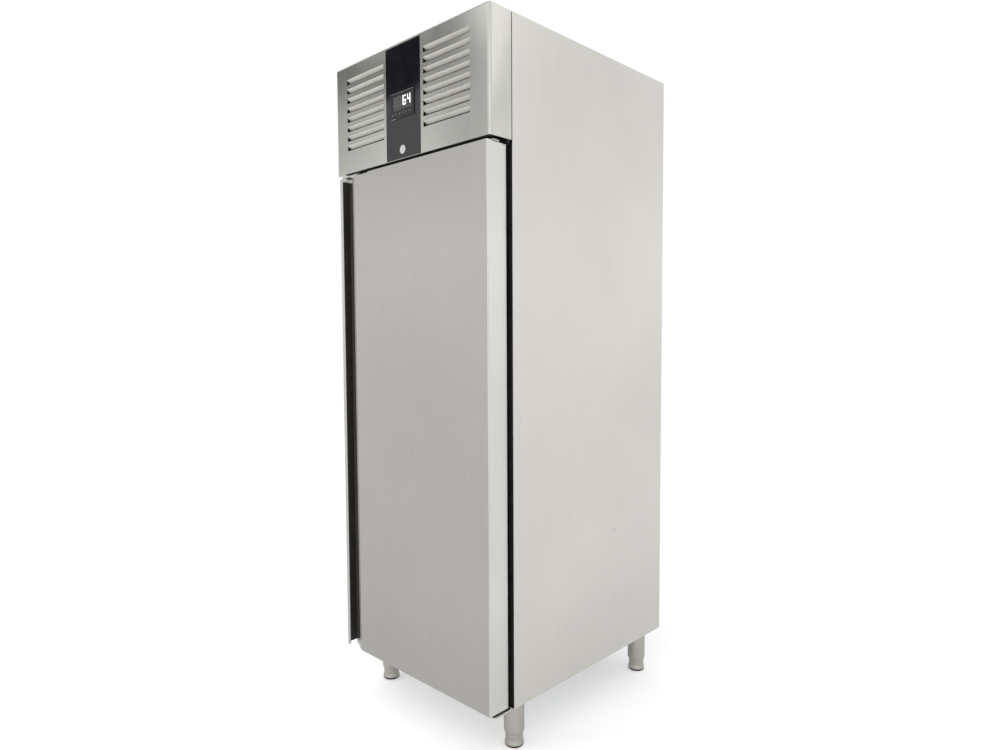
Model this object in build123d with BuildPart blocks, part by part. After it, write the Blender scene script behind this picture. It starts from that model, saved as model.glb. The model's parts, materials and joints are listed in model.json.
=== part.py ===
from build123d import *
import os
from math import cos, radians, sin, sqrt

os.makedirs("parts", exist_ok=True)

# Overall sizes, in millimetres
width = 690
depth = 830
height = 2010
leg_height = 145
fascia_height = 329
fascia_projection = 83
proud = 3
bezel_proud = 2.5

# Sheet and insulation
skin = 1
flange = 15
wall_insulation = 60
floor_insulation = 60
ceiling_insulation = 60
touch_gap = 0.3

# Door
door_inset = 12
door_thickness = 71
door_gap_top = 11
door_gap_bottom = 5
door_corner_radius = 5
lip_width = 14
channel_width = 60
channel_depth = 36
channel_wall = 2
gasket_width = 20
gasket_inset = 24
hinge_from_side = 22
hinge_from_front = 32
pin_radius = 6
running_gap = 0.05

# Fascia
fascia_corner_radius = 8
fascia_seam = 3
fascia_pivot_drop = 6
fascia_pivot_set_back = 13
fascia_pin_radius = 2.5
fascia_return = 18
panel_shift = -6
strip_width = 156
strip_top_margin = 6
strip_bottom_margin = 1.5
louvre_length = 189
louvre_height = 16
louvre_depth = 12
louvre_blade = 14.5
louvre_pitch = 29
louvre_from_strip = 12
louvre_from_top = 40
louvre_from_foot = 60

# Places that follow from the sizes above
side_x = width / 2
back_y = (depth + proud) / 2
front_y = back_y - depth
case_y = front_y + fascia_projection
case_z = leg_height
fascia_z = height - fascia_height
liner_x = side_x - wall_insulation
liner_back_y = back_y - wall_insulation
liner_floor_z = case_z + floor_insulation
liner_ceiling_z = fascia_z - ceiling_insulation
door_x = side_x - door_inset
door_back_y = front_y + door_thickness
door_bottom_z = case_z + door_gap_bottom
door_top_z = fascia_z - door_gap_top
door_height = door_top_z - door_bottom_z
face_left_x = -door_x + lip_width + channel_width
hinge_x = door_x - hinge_from_side
hinge_y = front_y + hinge_from_front


def block(x0, x1, y0, y1, z0, z1, mode=Mode.ADD):
    """A box between six limits, in the part that is open."""
    with Locations(((x0 + x1) / 2, (y0 + y1) / 2, (z0 + z1) / 2)):
        Box(abs(x1 - x0), abs(y1 - y0), abs(z1 - z0), mode=mode)


def upright(x, y, z0, z1, radius, mode=Mode.ADD):
    """A cylinder that stands on the level z0 and ends at z1."""
    with Locations((x, y, (z0 + z1) / 2)):
        Cylinder(radius, z1 - z0, mode=mode)


def lengthwise(x, z, y0, y1, radius, mode=Mode.ADD):
    """A cylinder that runs from the front level y0 back to y1."""
    with Locations((x, (y0 + y1) / 2, z)):
        Cylinder(radius, y1 - y0, rotation=(90, 0, 0), mode=mode)


def crosswise(y, z, x0, x1, radius, mode=Mode.ADD):
    """A cylinder that runs across, from x0 to x1."""
    with Locations(((x0 + x1) / 2, y, z)):
        Cylinder(radius, x1 - x0, rotation=(0, 90, 0), mode=mode)


# Side panels: one folded sheet a side, with narrow flanges at the back, top and underside
with BuildPart() as right_side_panel:
    block(side_x - skin, side_x, case_y, back_y, case_z, height)
    block(side_x - flange, side_x, back_y - skin, back_y, case_z, height)
    block(side_x - flange, side_x, case_y, back_y, case_z, case_z + skin)
    block(side_x - flange, side_x, case_y, back_y, height - skin, height)
right_side_panel.part.label = "right_side_panel"
export_step(right_side_panel.part, "parts/right_side_panel.step")

with BuildPart() as left_side_panel:
    mirror(right_side_panel.part, about=Plane.YZ)
left_side_panel.part.label = "left_side_panel"
export_step(left_side_panel.part, "parts/left_side_panel.step")

# Base panel, machine deck and back panel: the sheets that close the insulated body
inside_x = side_x - skin
sheet_back_y = back_y - 2 * skin
deck_top_z = fascia_z + skin
deck_upstand = 30
drain_radius = 10
drain_x = 0
drain_y = (liner_back_y + sheet_back_y) / 2
pipe_hole_radius = 14
pipe_hole_x = -180
pipe_hole_y = 230

with BuildPart() as base_panel:
    block(-inside_x, inside_x, case_y, sheet_back_y, case_z + skin, case_z + 2 * skin)
    upright(drain_x, drain_y, case_z, case_z + 3 * skin, drain_radius, Mode.SUBTRACT)
base_panel.part.label = "base_panel"
export_step(base_panel.part, "parts/base_panel.step")

with BuildPart() as machine_deck:
    block(-inside_x, inside_x, case_y, sheet_back_y, fascia_z, deck_top_z)
    block(-inside_x, inside_x, case_y, case_y + skin, fascia_z, fascia_z + deck_upstand)
    upright(pipe_hole_x, pipe_hole_y, fascia_z - skin, deck_top_z + skin, pipe_hole_radius, Mode.SUBTRACT)
machine_deck.part.label = "machine_deck"
export_step(machine_deck.part, "parts/machine_deck.step")

with BuildPart() as back_panel:
    block(-inside_x, inside_x, sheet_back_y, back_y - skin, case_z + skin, deck_top_z)
back_panel.part.label = "back_panel"
export_step(back_panel.part, "parts/back_panel.step")

# Rear grille: a slotted sheet, set in behind the side flanges, with the mains gland through it
grille_set_in = 25
grille_y = back_y - grille_set_in
grille_top_z = height - 2 * skin
grille_slot_length = 150
grille_slot_height = 6
grille_slot_pitch = 18
grille_slot_spacing = 195
grille_slot_rows = 9
grille_slot_z = (deck_top_z + grille_top_z) / 2 + 20
gland_x = -250
gland_z = deck_top_z + 45
gland_thread_radius = 8
gland_nut_radius = 13
gland_nut_length = 14

with BuildPart() as rear_grille:
    block(-inside_x, inside_x, grille_y, grille_y + skin, deck_top_z, grille_top_z)
    block(-inside_x, inside_x, grille_y - flange, grille_y, grille_top_z - skin, grille_top_z)
    block(-inside_x, inside_x, grille_y - flange, grille_y, deck_top_z, deck_top_z + skin)
    with BuildSketch(Plane.XZ.offset(-grille_y - skin)):
        with Locations((0, grille_slot_z)):
            with GridLocations(grille_slot_spacing, grille_slot_pitch, 3, grille_slot_rows):
                SlotOverall(grille_slot_length, grille_slot_height)
    extrude(amount=skin, mode=Mode.SUBTRACT)
    lengthwise(gland_x, gland_z, grille_y - skin, grille_y + 2 * skin, gland_thread_radius, Mode.SUBTRACT)
rear_grille.part.label = "rear_grille"
export_step(rear_grille.part, "parts/rear_grille.step")

with BuildPart() as mains_gland:
    lengthwise(gland_x, gland_z, grille_y - gland_nut_length / 2, grille_y + skin, gland_thread_radius)
    with BuildSketch(Plane.XZ.offset(-grille_y - skin)):
        with Locations((gland_x, gland_z)):
            RegularPolygon(gland_nut_radius, 6)
    extrude(amount=-gland_nut_length)
    with BuildSketch(Plane.XZ.offset(-grille_y)):
        with Locations((gland_x, gland_z)):
            RegularPolygon(gland_nut_radius, 6)
    extrude(amount=gland_nut_length / 2)
    lengthwise(gland_x, gland_z, grille_y - gland_nut_length, back_y, gland_thread_radius / 2, Mode.SUBTRACT)
mains_gland.part.label = "mains_gland"
export_step(mains_gland.part, "parts/mains_gland.step")

# Top rail: a channel across the top front, with an ear at each end for the fascia's pivot
rail_height = 30
rail_depth = 40
rail_sheet = 2
ear_thickness = 5
ear_half_width = 4
ear_drop = 24
pivot_y = case_y - fascia_pivot_set_back
pivot_z = height - fascia_pivot_drop
ear_outer_x = inside_x - 9
rail_top_z = height - 2 * skin

with BuildPart() as top_rail:
    block(-inside_x, inside_x, case_y, case_y + rail_sheet, rail_top_z - rail_height, rail_top_z)
    block(-inside_x, inside_x, case_y, case_y + rail_depth, rail_top_z - rail_sheet, rail_top_z)
    block(-inside_x, inside_x, case_y + rail_depth - rail_sheet, case_y + rail_depth,
          rail_top_z - rail_height, rail_top_z)
    for side in (-1, 1):
        inner, outer = side * (ear_outer_x - ear_thickness), side * ear_outer_x
        block(inner, outer, pivot_y - ear_half_width, pivot_y + ear_half_width, pivot_z - ear_drop, pivot_z)
        block(inner, outer, pivot_y - ear_half_width, case_y, pivot_z - ear_drop, pivot_z - ear_drop / 2)
        crosswise(pivot_y, pivot_z, min(inner, outer), max(inner, outer), ear_half_width)
        crosswise(pivot_y, pivot_z, min(inner, outer) - skin, max(inner, outer) + skin,
                  fascia_pin_radius, Mode.SUBTRACT)
top_rail.part.label = "top_rail"
export_step(top_rail.part, "parts/top_rail.step")

# Thermal break frame round the door opening
frame_thickness = 10
frame_back_y = case_y + frame_thickness

with BuildPart() as breaker_frame:
    block(-inside_x, inside_x, case_y, frame_back_y, case_z + 2 * skin, fascia_z)
    block(-liner_x, liner_x, case_y, frame_back_y, liner_floor_z, liner_ceiling_z, Mode.SUBTRACT)
breaker_frame.part.label = "breaker_frame"
export_step(breaker_frame.part, "parts/breaker_frame.step")

# Drain pipe: from the drip tray's spout through the back wall and down to the tray under the base
spout_z = liner_ceiling_z - 150
spout_front_y = liner_back_y - 40
pan_rim_z = case_z - 4
drain_bend = 18
drain_wall = 2
drain_start = Plane(origin=(drain_x, spout_front_y, spout_z), z_dir=(0, 1, 0))

with BuildLine() as drain_route:
    FilletPolyline((drain_x, spout_front_y, spout_z), (drain_x, drain_y, spout_z),
                   (drain_x, drain_y, pan_rim_z - drain_radius), radius=drain_bend)

with BuildPart() as drain_path:
    with BuildSketch(drain_start):
        Circle(drain_radius)
    sweep(path=drain_route.line)

with BuildPart() as drain_pipe:
    with BuildSketch(drain_start):
        Circle(drain_radius)
        Circle(drain_radius - drain_wall, mode=Mode.SUBTRACT)
    sweep(path=drain_route.line)
drain_pipe.part.label = "drain_pipe"
export_step(drain_pipe.part, "parts/drain_pipe.step")

# Inner liner: an open-fronted box with a flange behind the frame
liner_flange = 20
liner_front_y = frame_back_y

with BuildPart() as inner_liner:
    block(-liner_x - skin, liner_x + skin, liner_front_y, liner_back_y + skin,
          liner_floor_z - skin, liner_ceiling_z + skin)
    block(-liner_x - liner_flange, liner_x + liner_flange, liner_front_y, liner_front_y + skin,
          liner_floor_z - liner_flange, liner_ceiling_z + liner_flange)
    block(-liner_x, liner_x, liner_front_y, liner_back_y, liner_floor_z, liner_ceiling_z, Mode.SUBTRACT)
    add(drain_path.part, mode=Mode.SUBTRACT)
inner_liner.part.label = "inner_liner"
export_step(inner_liner.part, "parts/inner_liner.step")

# Insulation: fills the walls between the sheets and the liner, round the pipes
with BuildPart() as insulation_foam:
    block(-inside_x, inside_x, frame_back_y, sheet_back_y, case_z + 2 * skin, fascia_z)
    block(-liner_x - skin, liner_x + skin, liner_front_y, liner_back_y + skin,
          liner_floor_z - skin, liner_ceiling_z + skin, Mode.SUBTRACT)
    block(-liner_x - liner_flange, liner_x + liner_flange, liner_front_y, liner_front_y + skin,
          liner_floor_z - liner_flange, liner_ceiling_z + liner_flange, Mode.SUBTRACT)
    add(drain_path.part, mode=Mode.SUBTRACT)
    upright(pipe_hole_x, pipe_hole_y, liner_ceiling_z, fascia_z, pipe_hole_radius, Mode.SUBTRACT)
insulation_foam.part.label = "insulation_foam"
export_step(insulation_foam.part, "parts/insulation_foam.step")

# Leg sockets: a square plate and a tapered sleeve at each corner, under the base panel
foot_side_inset = 57
foot_front_inset = 60
foot_rear_inset = 57
foot_radius = 25
sleeve_radius = 29.5
sleeve_end_z = 36
sleeve_taper = 10
sleeve_end_wall = 1.3
sleeve_roof = 18
leg_plate_size = 76
leg_plate_thickness = 3
leg_screw_radius = 3
leg_screw_spacing = 60
socket_top_z = case_z + skin
sleeve_roof_z = socket_top_z - sleeve_roof
foot_x = side_x - foot_side_inset
foot_spots = {
    "foot_front_left": (-foot_x, case_y + foot_front_inset),
    "foot_front_right": (foot_x, case_y + foot_front_inset),
    "foot_rear_left": (-foot_x, back_y - foot_rear_inset),
    "foot_rear_right": (foot_x, back_y - foot_rear_inset),
}


def turned(x, y, outline):
    """A round solid about an upright axis, from an outline of radius and height pairs."""
    axis_plane = Plane(origin=(x, y, 0), x_dir=(1, 0, 0), z_dir=(0, -1, 0))
    with BuildSketch(axis_plane) as profile:
        with BuildLine():
            Polyline(*outline, close=True)
        make_face()
    revolve(profile.sketch, axis=Axis((x, y, 0), (0, 0, 1)))


with BuildPart() as leg_sockets:
    for x, y in foot_spots.values():
        with Locations((x, y, socket_top_z - leg_plate_thickness / 2)):
            Box(leg_plate_size, leg_plate_size, leg_plate_thickness)
        turned(x, y, [
            (0, socket_top_z),
            (sleeve_radius, socket_top_z),
            (sleeve_radius, sleeve_end_z + sleeve_taper),
            (foot_radius + running_gap + sleeve_end_wall, sleeve_end_z),
            (foot_radius + running_gap, sleeve_end_z),
            (foot_radius + running_gap, sleeve_roof_z),
            (0, sleeve_roof_z),
        ])
        with Locations((x, y, socket_top_z - leg_plate_thickness / 2)):
            with GridLocations(leg_screw_spacing, leg_screw_spacing, 2, 2):
                Cylinder(leg_screw_radius, leg_plate_thickness, mode=Mode.SUBTRACT)
leg_sockets.part.label = "leg_sockets"
export_step(leg_sockets.part, "parts/leg_sockets.step")

# Feet: a turned tube on a rubber pad, sliding in its sleeve as its screw is turned
pad_height = 6
pad_radius = 27
pad_edge = 2
foot_flare = 2.5
flare_height = 13
foot_headroom = 28
foot_top_z = sleeve_roof_z - foot_headroom
foot_wall = 5
for name, (x, y) in foot_spots.items():
    with BuildPart() as foot:
        turned(x, y, [
            (0, pad_height),
            (foot_radius + foot_flare, pad_height),
            (foot_radius + foot_flare, pad_height + 3),
            (foot_radius, pad_height + flare_height),
            (foot_radius, foot_top_z),
            (foot_radius - foot_wall, foot_top_z),
            (foot_radius - foot_wall, pad_height + flare_height),
            (0, pad_height + flare_height),
        ])
        turned(x, y, [
            (0, 0),
            (pad_radius - pad_edge, 0),
            (pad_radius, pad_edge),
            (pad_radius, pad_height),
            (0, pad_height),
        ])
    foot.part.label = name
    export_step(foot.part, f"parts/{name}.step")

# Hinge brackets: a plate stepped down from the base, and a narrow arm with a broad head under the fascia
lower_bracket_drop = 3
lower_bracket_thickness = 5
upper_bracket_gap = 2
upper_bracket_thickness = 5
bracket_reach = 22
bracket_corner = 4
bracket_half_width = 20
upper_head_length = 24
upper_arm_half_width = 4
bracket_tail = foot_front_inset - leg_plate_size / 2 - 2
bracket_screw_radius = 3
bracket_screw_offset = 12
bracket_screw_y = case_y + bracket_tail / 2
lower_bracket_top_z = case_z - lower_bracket_drop
lower_bracket_z = lower_bracket_top_z - lower_bracket_thickness
lower_tail_top_z = case_z + skin
upper_bracket_z = door_top_z + upper_bracket_gap
bracket_front_y = front_y + bracket_reach
bracket_x0 = hinge_x - bracket_half_width
bracket_x1 = min(hinge_x + bracket_half_width, side_x - flange - 0.5)
bracket_leg_y = case_y - upper_bracket_thickness
bracket_leg_top_z = fascia_z + deck_upstand
bracket_screw_x = (bracket_x0 + bracket_x1) / 2

with BuildPart() as hinge_brackets:
    block(bracket_x0, door_x, bracket_front_y, case_y, lower_bracket_z, lower_bracket_top_z)
    block(bracket_x0, bracket_x1, case_y, case_y + bracket_tail, lower_bracket_z, lower_tail_top_z)
    upright(hinge_x, hinge_y, lower_bracket_z, lower_bracket_top_z, pin_radius, Mode.SUBTRACT)
    block(bracket_x0, door_x, bracket_front_y, bracket_front_y + upper_head_length,
          upper_bracket_z, upper_bracket_z + upper_bracket_thickness)
    block(bracket_x0, hinge_x + upper_arm_half_width, bracket_front_y + upper_head_length, case_y,
          upper_bracket_z, upper_bracket_z + upper_bracket_thickness)
    block(bracket_x0, bracket_x1, bracket_leg_y, case_y, upper_bracket_z, bracket_leg_top_z)
    upright(hinge_x, hinge_y, upper_bracket_z, upper_bracket_z + upper_bracket_thickness,
            pin_radius, Mode.SUBTRACT)
    for step in (-1, 1):
        upright(bracket_screw_x + step * bracket_screw_offset, bracket_screw_y,
                lower_bracket_z, lower_tail_top_z, bracket_screw_radius, Mode.SUBTRACT)
        lengthwise(bracket_screw_x + step * bracket_screw_offset, fascia_z + deck_upstand / 2,
                   bracket_leg_y, case_y, bracket_screw_radius, Mode.SUBTRACT)
    fillet(hinge_brackets.edges().filter_by(Axis.Z).group_by(Axis.Y)[0], radius=bracket_corner)
hinge_brackets.part.label = "hinge_brackets"
export_step(hinge_brackets.part, "parts/hinge_brackets.step")

# Pins: a plain lower pin and a collared upper one for the door, and two short ones for the fascia
pin_engagement = 22
collar_radius = 9
fascia_pin_outer_x = inside_x - 1.5

with BuildPart() as hinge_pins:
    upright(hinge_x, hinge_y, lower_bracket_z, door_bottom_z + pin_engagement, pin_radius)
    upright(hinge_x, hinge_y, door_top_z - pin_engagement, upper_bracket_z + upper_bracket_thickness, pin_radius)
    upright(hinge_x, hinge_y, door_top_z + touch_gap, upper_bracket_z, collar_radius)
    for side in (-1, 1):
        ends = sorted((side * (ear_outer_x - ear_thickness), side * fascia_pin_outer_x))
        crosswise(pivot_y, pivot_z, ends[0], ends[1], fascia_pin_radius)
hinge_pins.part.label = "hinge_pins"
export_step(hinge_pins.part, "parts/hinge_pins.step")

# Screws: sixteen under the legs and four on the hinge brackets
screw_head_radius = 5.5
screw_head_height = 3

with BuildPart() as cabinet_screws:
    for x, y in foot_spots.values():
        with Locations((x, y, 0)):
            with GridLocations(leg_screw_spacing, leg_screw_spacing, 2, 2) as spots:
                screw_spots = [(spot.position.X, spot.position.Y) for spot in spots.locations]
        for screw_x, screw_y in screw_spots:
            upright(screw_x, screw_y, socket_top_z - leg_plate_thickness, socket_top_z, leg_screw_radius)
            upright(screw_x, screw_y, socket_top_z - leg_plate_thickness - screw_head_height,
                    socket_top_z - leg_plate_thickness, screw_head_radius)
    for step in (-1, 1):
        screw_x = bracket_screw_x + step * bracket_screw_offset
        upright(screw_x, bracket_screw_y, lower_bracket_z, lower_tail_top_z, bracket_screw_radius)
        upright(screw_x, bracket_screw_y, lower_bracket_z - screw_head_height, lower_bracket_z,
                screw_head_radius)
        lengthwise(screw_x, fascia_z + deck_upstand / 2, bracket_leg_y, case_y, bracket_screw_radius)
        lengthwise(screw_x, fascia_z + deck_upstand / 2, bracket_leg_y - screw_head_height, bracket_leg_y,
                   screw_head_radius)
cabinet_screws.part.label = "cabinet_screws"
export_step(cabinet_screws.part, "parts/cabinet_screws.step")

# Shelf uprights, with a row of key slots up each
pilaster_width = 24
pilaster_depth = 8
pilaster_wall = 1.5
pilaster_foot_z = liner_floor_z + 20
pilaster_top_z = liner_ceiling_z - 180
pilaster_front_y = liner_front_y + 70
pilaster_rear_y = liner_back_y - 90
slot_pitch = 50
slot_height = 14
slot_width = 8
slot_count = int((pilaster_top_z - pilaster_foot_z) / slot_pitch)
pilaster_face_x = liner_x - pilaster_depth

with BuildPart() as shelf_pilasters:
    for side in (-1, 1):
        for middle_y in (pilaster_front_y, pilaster_rear_y):
            block(side * pilaster_face_x, side * liner_x, middle_y - pilaster_width / 2,
                  middle_y + pilaster_width / 2, pilaster_foot_z, pilaster_top_z)
            block(side * (pilaster_face_x + pilaster_wall), side * (liner_x + skin),
                  middle_y - pilaster_width / 2 + pilaster_wall,
                  middle_y + pilaster_width / 2 - pilaster_wall, pilaster_foot_z, pilaster_top_z,
                  Mode.SUBTRACT)
            for step in range(slot_count):
                low_z = pilaster_foot_z + (step + 0.5) * slot_pitch
                block(side * pilaster_face_x, side * (pilaster_face_x + pilaster_wall),
                      middle_y - slot_width / 2, middle_y + slot_width / 2, low_z, low_z + slot_height,
                      Mode.SUBTRACT)
shelf_pilasters.part.label = "shelf_pilasters"
export_step(shelf_pilasters.part, "parts/shelf_pilasters.step")

# Shelf runners: an angle on each side at each level, hooked in the uprights' slots
runner_slots = [round(slot_count * share) for share in (0.17, 0.46, 0.75)]
runner_sheet = 1.5
runner_ledge = 16
runner_web = 20
runner_front_y = liner_front_y + 15
runner_rear_y = liner_back_y - 15
runner_face_x = pilaster_face_x


def ledge_z(slot):
    """The height of the ledge that hooks into one slot of the uprights."""
    return pilaster_foot_z + (slot + 0.5) * slot_pitch


with BuildPart() as shelf_runners:
    for slot in runner_slots:
        low_z = ledge_z(slot)
        for side in (-1, 1):
            block(side * (runner_face_x - runner_sheet), side * runner_face_x, runner_front_y, runner_rear_y,
                  low_z, low_z + runner_web)
            block(side * (runner_face_x - runner_ledge), side * runner_face_x, runner_front_y, runner_rear_y,
                  low_z, low_z + runner_sheet)
            for middle_y in (pilaster_front_y, pilaster_rear_y):
                block(side * runner_face_x, side * (runner_face_x + 2 * pilaster_wall),
                      middle_y - slot_width / 2 + touch_gap, middle_y + slot_width / 2 - touch_gap,
                      low_z + touch_gap, low_z + slot_height - 2)
shelf_runners.part.label = "shelf_runners"
export_step(shelf_runners.part, "parts/shelf_runners.step")

# Wire shelves: a frame, wires front to back and three cross wires under them
shelf_side_gap = 1.5
shelf_x = runner_face_x - runner_sheet - shelf_side_gap
shelf_front_y = runner_front_y + 10
shelf_rear_y = runner_rear_y - 2
frame_wire_radius = 3.5
brace_radius = 3
rim_bend = 12
wire_radius = 1.75
wire_count = 21
for name, slot in zip(("shelf_lower", "shelf_middle", "shelf_upper"), runner_slots):
    wire_z = ledge_z(slot) + runner_sheet + frame_wire_radius
    rim_x = shelf_x - frame_wire_radius
    rim_front_y = shelf_front_y + frame_wire_radius
    rim_rear_y = shelf_rear_y - frame_wire_radius
    with BuildPart() as shelf:
        with BuildLine() as rim:
            FilletPolyline((rim_x, rim_front_y, wire_z), (rim_x, rim_rear_y, wire_z),
                           (-rim_x, rim_rear_y, wire_z), (-rim_x, rim_front_y, wire_z),
                           radius=rim_bend, close=True)
        with BuildSketch(Plane(origin=rim.wire() @ 0, z_dir=rim.wire() % 0)):
            Circle(frame_wire_radius)
        sweep(path=rim.wire())
        for share in (0.25, 0.5, 0.75):
            crosswise(rim_front_y + share * (rim_rear_y - rim_front_y), wire_z, -rim_x, rim_x, brace_radius)
        for step in range(1, wire_count + 1):
            wire_x = -rim_x + 2 * rim_x * step / (wire_count + 1)
            lengthwise(wire_x, wire_z + frame_wire_radius + 0.4 * wire_radius, rim_front_y - 1,
                       rim_rear_y + 1, wire_radius)
    shelf.part.label = name
    export_step(shelf.part, f"parts/{name}.step")

# Evaporator: a finned coil under the ceiling, behind a folded cover with a fan in its front
coil_half_width = 180
coil_front_y = liner_back_y - 250
coil_rear_y = liner_back_y - 70
coil_bottom_z = liner_ceiling_z - 118
coil_fin_pitch = 12
coil_fin_thickness = 1
coil_tube_radius = 5


def finned_coil(half_width, front_y, rear_y, bottom_z, top_z, rows, columns):
    """Upright fins on crossing tubes, with side plates; the tubes' ends stand out at both sides."""
    fin_count = int(2 * half_width / coil_fin_pitch)
    for step in range(fin_count + 1):
        fin_x = -half_width + 2 * half_width * step / fin_count
        block(fin_x - coil_fin_thickness / 2, fin_x + coil_fin_thickness / 2, front_y, rear_y, bottom_z, top_z)
    for row in range(rows):
        for column in range(columns):
            crosswise(front_y + (column + 0.5) * (rear_y - front_y) / columns,
                      bottom_z + (row + 0.5) * (top_z - bottom_z) / rows,
                      -half_width - coil_fin_pitch, half_width + coil_fin_pitch, coil_tube_radius)


with BuildPart() as evaporator_coil:
    finned_coil(coil_half_width, coil_front_y, coil_rear_y, coil_bottom_z, liner_ceiling_z, 3, 4)
evaporator_coil.part.label = "evaporator_coil"
export_step(evaporator_coil.part, "parts/evaporator_coil.step")

cover_half_width = 225
cover_front_y = coil_front_y - 95
cover_rear_y = liner_back_y - 25
cover_bottom_z = liner_ceiling_z - 170
cover_lip = 12
evaporator_fan_radius = 62
evaporator_fan_z = (cover_bottom_z + liner_ceiling_z) / 2
fan_ring_gap = 4
cover_slot_count = 10

with BuildPart() as evaporator_cover:
    block(-cover_half_width, cover_half_width, cover_front_y, cover_rear_y, cover_bottom_z, liner_ceiling_z)
    block(-cover_half_width + skin, cover_half_width - skin, cover_front_y + skin, cover_rear_y,
          cover_bottom_z + skin, liner_ceiling_z, Mode.SUBTRACT)
    lengthwise(0, evaporator_fan_z, cover_front_y, cover_front_y + skin,
               evaporator_fan_radius + fan_ring_gap, Mode.SUBTRACT)
    for step in range(cover_slot_count):
        slot_y = cover_front_y + 115 + 18 * step
        for side in (-1, 1):
            block(side * cover_half_width, side * (cover_half_width - skin), slot_y, slot_y + 8,
                  cover_bottom_z + 40, liner_ceiling_z - 30, Mode.SUBTRACT)
evaporator_cover.part.label = "evaporator_cover"
export_step(evaporator_cover.part, "parts/evaporator_cover.step")

# Drip tray under the coil, hung in the cover, with its spout over the drain pipe
tray_half_width = 205
tray_front_y = coil_front_y - 12
tray_rear_y = spout_front_y
tray_bottom_z = spout_z - drain_radius
tray_rim_z = coil_bottom_z - 3

with BuildPart() as drip_tray:
    block(-tray_half_width, tray_half_width, tray_front_y, tray_rear_y, tray_bottom_z, tray_rim_z)
    block(-tray_half_width + skin, tray_half_width - skin, tray_front_y + skin, tray_rear_y - skin,
          tray_bottom_z + skin, tray_rim_z, Mode.SUBTRACT)
    lengthwise(drain_x, spout_z, tray_rear_y - 2 * skin, tray_rear_y + skin, drain_radius - 2, Mode.SUBTRACT)
drip_tray.part.label = "drip_tray"
export_step(drip_tray.part, "parts/drip_tray.step")


def fan_wheel(x, y, z, radius, hub_radius, thickness, blades, pitch):
    """A hub and pitched blades about an axis that runs front to back, trimmed to a round tip."""
    with BuildPart(Plane(origin=(x, y, z), z_dir=(0, -1, 0))) as wheel:
        with PolarLocations(radius / 2, blades):
            Box(radius, 0.75 * radius, 1.5, rotation=(pitch, 0, 0))
        Cylinder(radius, thickness, mode=Mode.INTERSECT)
        Cylinder(hub_radius, thickness)
    return wheel.part


# Evaporator fan: motor on its bracket behind the cover, blades in the ring, wire guard outside
fan_motor_gap = 8
evaporator_fan_thickness = 26
evaporator_fan_y = cover_front_y + skin + 2 + evaporator_fan_thickness / 2
evaporator_motor_y = evaporator_fan_y + evaporator_fan_thickness / 2 + touch_gap
evaporator_motor_radius = 34
evaporator_motor_length = 45
shaft_radius = 4
bracket_strip = 14

with BuildPart() as evaporator_fan_motor:
    lengthwise(0, evaporator_fan_z, evaporator_motor_y, evaporator_motor_y + evaporator_motor_length,
               evaporator_motor_radius)
    lengthwise(0, evaporator_fan_z, evaporator_fan_y - evaporator_fan_thickness / 2 + 1, evaporator_motor_y,
               shaft_radius)
    block(-bracket_strip / 2, bracket_strip / 2, evaporator_motor_y + 8, evaporator_motor_y + 10,
          cover_bottom_z + skin, liner_ceiling_z)
evaporator_fan_motor.part.label = "evaporator_fan_motor"
export_step(evaporator_fan_motor.part, "parts/evaporator_fan_motor.step")

with BuildPart() as evaporator_fan_blades:
    add(fan_wheel(0, evaporator_fan_y, evaporator_fan_z, evaporator_fan_radius, 22,
                  evaporator_fan_thickness, 5, 32))
    lengthwise(0, evaporator_fan_z, evaporator_fan_y - evaporator_fan_thickness,
               evaporator_fan_y + evaporator_fan_thickness, shaft_radius + running_gap, Mode.SUBTRACT)
evaporator_fan_blades.part.label = "evaporator_fan_blades"
export_step(evaporator_fan_blades.part, "parts/evaporator_fan_blades.step")

guard_bar = 3
guard_radius = 76
guard_gap = 6
guard_rings = 5
guard_front_y = cover_front_y - guard_gap - guard_bar

with BuildPart() as evaporator_fan_guard:
    for step in range(1, guard_rings + 1):
        ring_radius = guard_radius * step / guard_rings
        with BuildSketch(Plane.XZ.offset(-guard_front_y - guard_bar)) as ring:
            with Locations((0, evaporator_fan_z)):
                Circle(ring_radius)
                Circle(ring_radius - guard_bar, mode=Mode.SUBTRACT)
        extrude(amount=guard_bar)
    block(-guard_radius + guard_bar, guard_radius - guard_bar, guard_front_y, guard_front_y + guard_bar,
          evaporator_fan_z - guard_bar / 2, evaporator_fan_z + guard_bar / 2)
    block(-guard_bar / 2, guard_bar / 2, guard_front_y, guard_front_y + guard_bar,
          evaporator_fan_z - guard_radius + guard_bar, evaporator_fan_z + guard_radius - guard_bar)
    for side in (-1, 1):
        block(side * (guard_radius - guard_bar), side * (guard_radius + guard_bar), guard_front_y,
              cover_front_y, evaporator_fan_z - guard_bar, evaporator_fan_z + guard_bar)
evaporator_fan_guard.part.label = "evaporator_fan_guard"
export_step(evaporator_fan_guard.part, "parts/evaporator_fan_guard.step")

# Evaporation tray hung on two rails under the base
pan_half_width = 140
pan_front_y = back_y - 190
pan_rear_y = back_y - 12
pan_depth = 34
pan_rim = 10

with BuildPart() as evaporation_tray:
    block(-pan_half_width, pan_half_width, pan_front_y, pan_rear_y, pan_rim_z - pan_depth, pan_rim_z)
    block(-pan_half_width - pan_rim, pan_half_width + pan_rim, pan_front_y, pan_rear_y,
          pan_rim_z - skin, pan_rim_z)
    block(-pan_half_width + skin, pan_half_width - skin, pan_front_y + skin, pan_rear_y - skin,
          pan_rim_z - pan_depth + skin, pan_rim_z, Mode.SUBTRACT)
    for side in (-1, 1):
        block(side * pan_half_width, side * (pan_half_width + pan_rim), pan_front_y, pan_rear_y,
              pan_rim_z, case_z + skin)
evaporation_tray.part.label = "evaporation_tray"
export_step(evaporation_tray.part, "parts/evaporation_tray.step")

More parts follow.
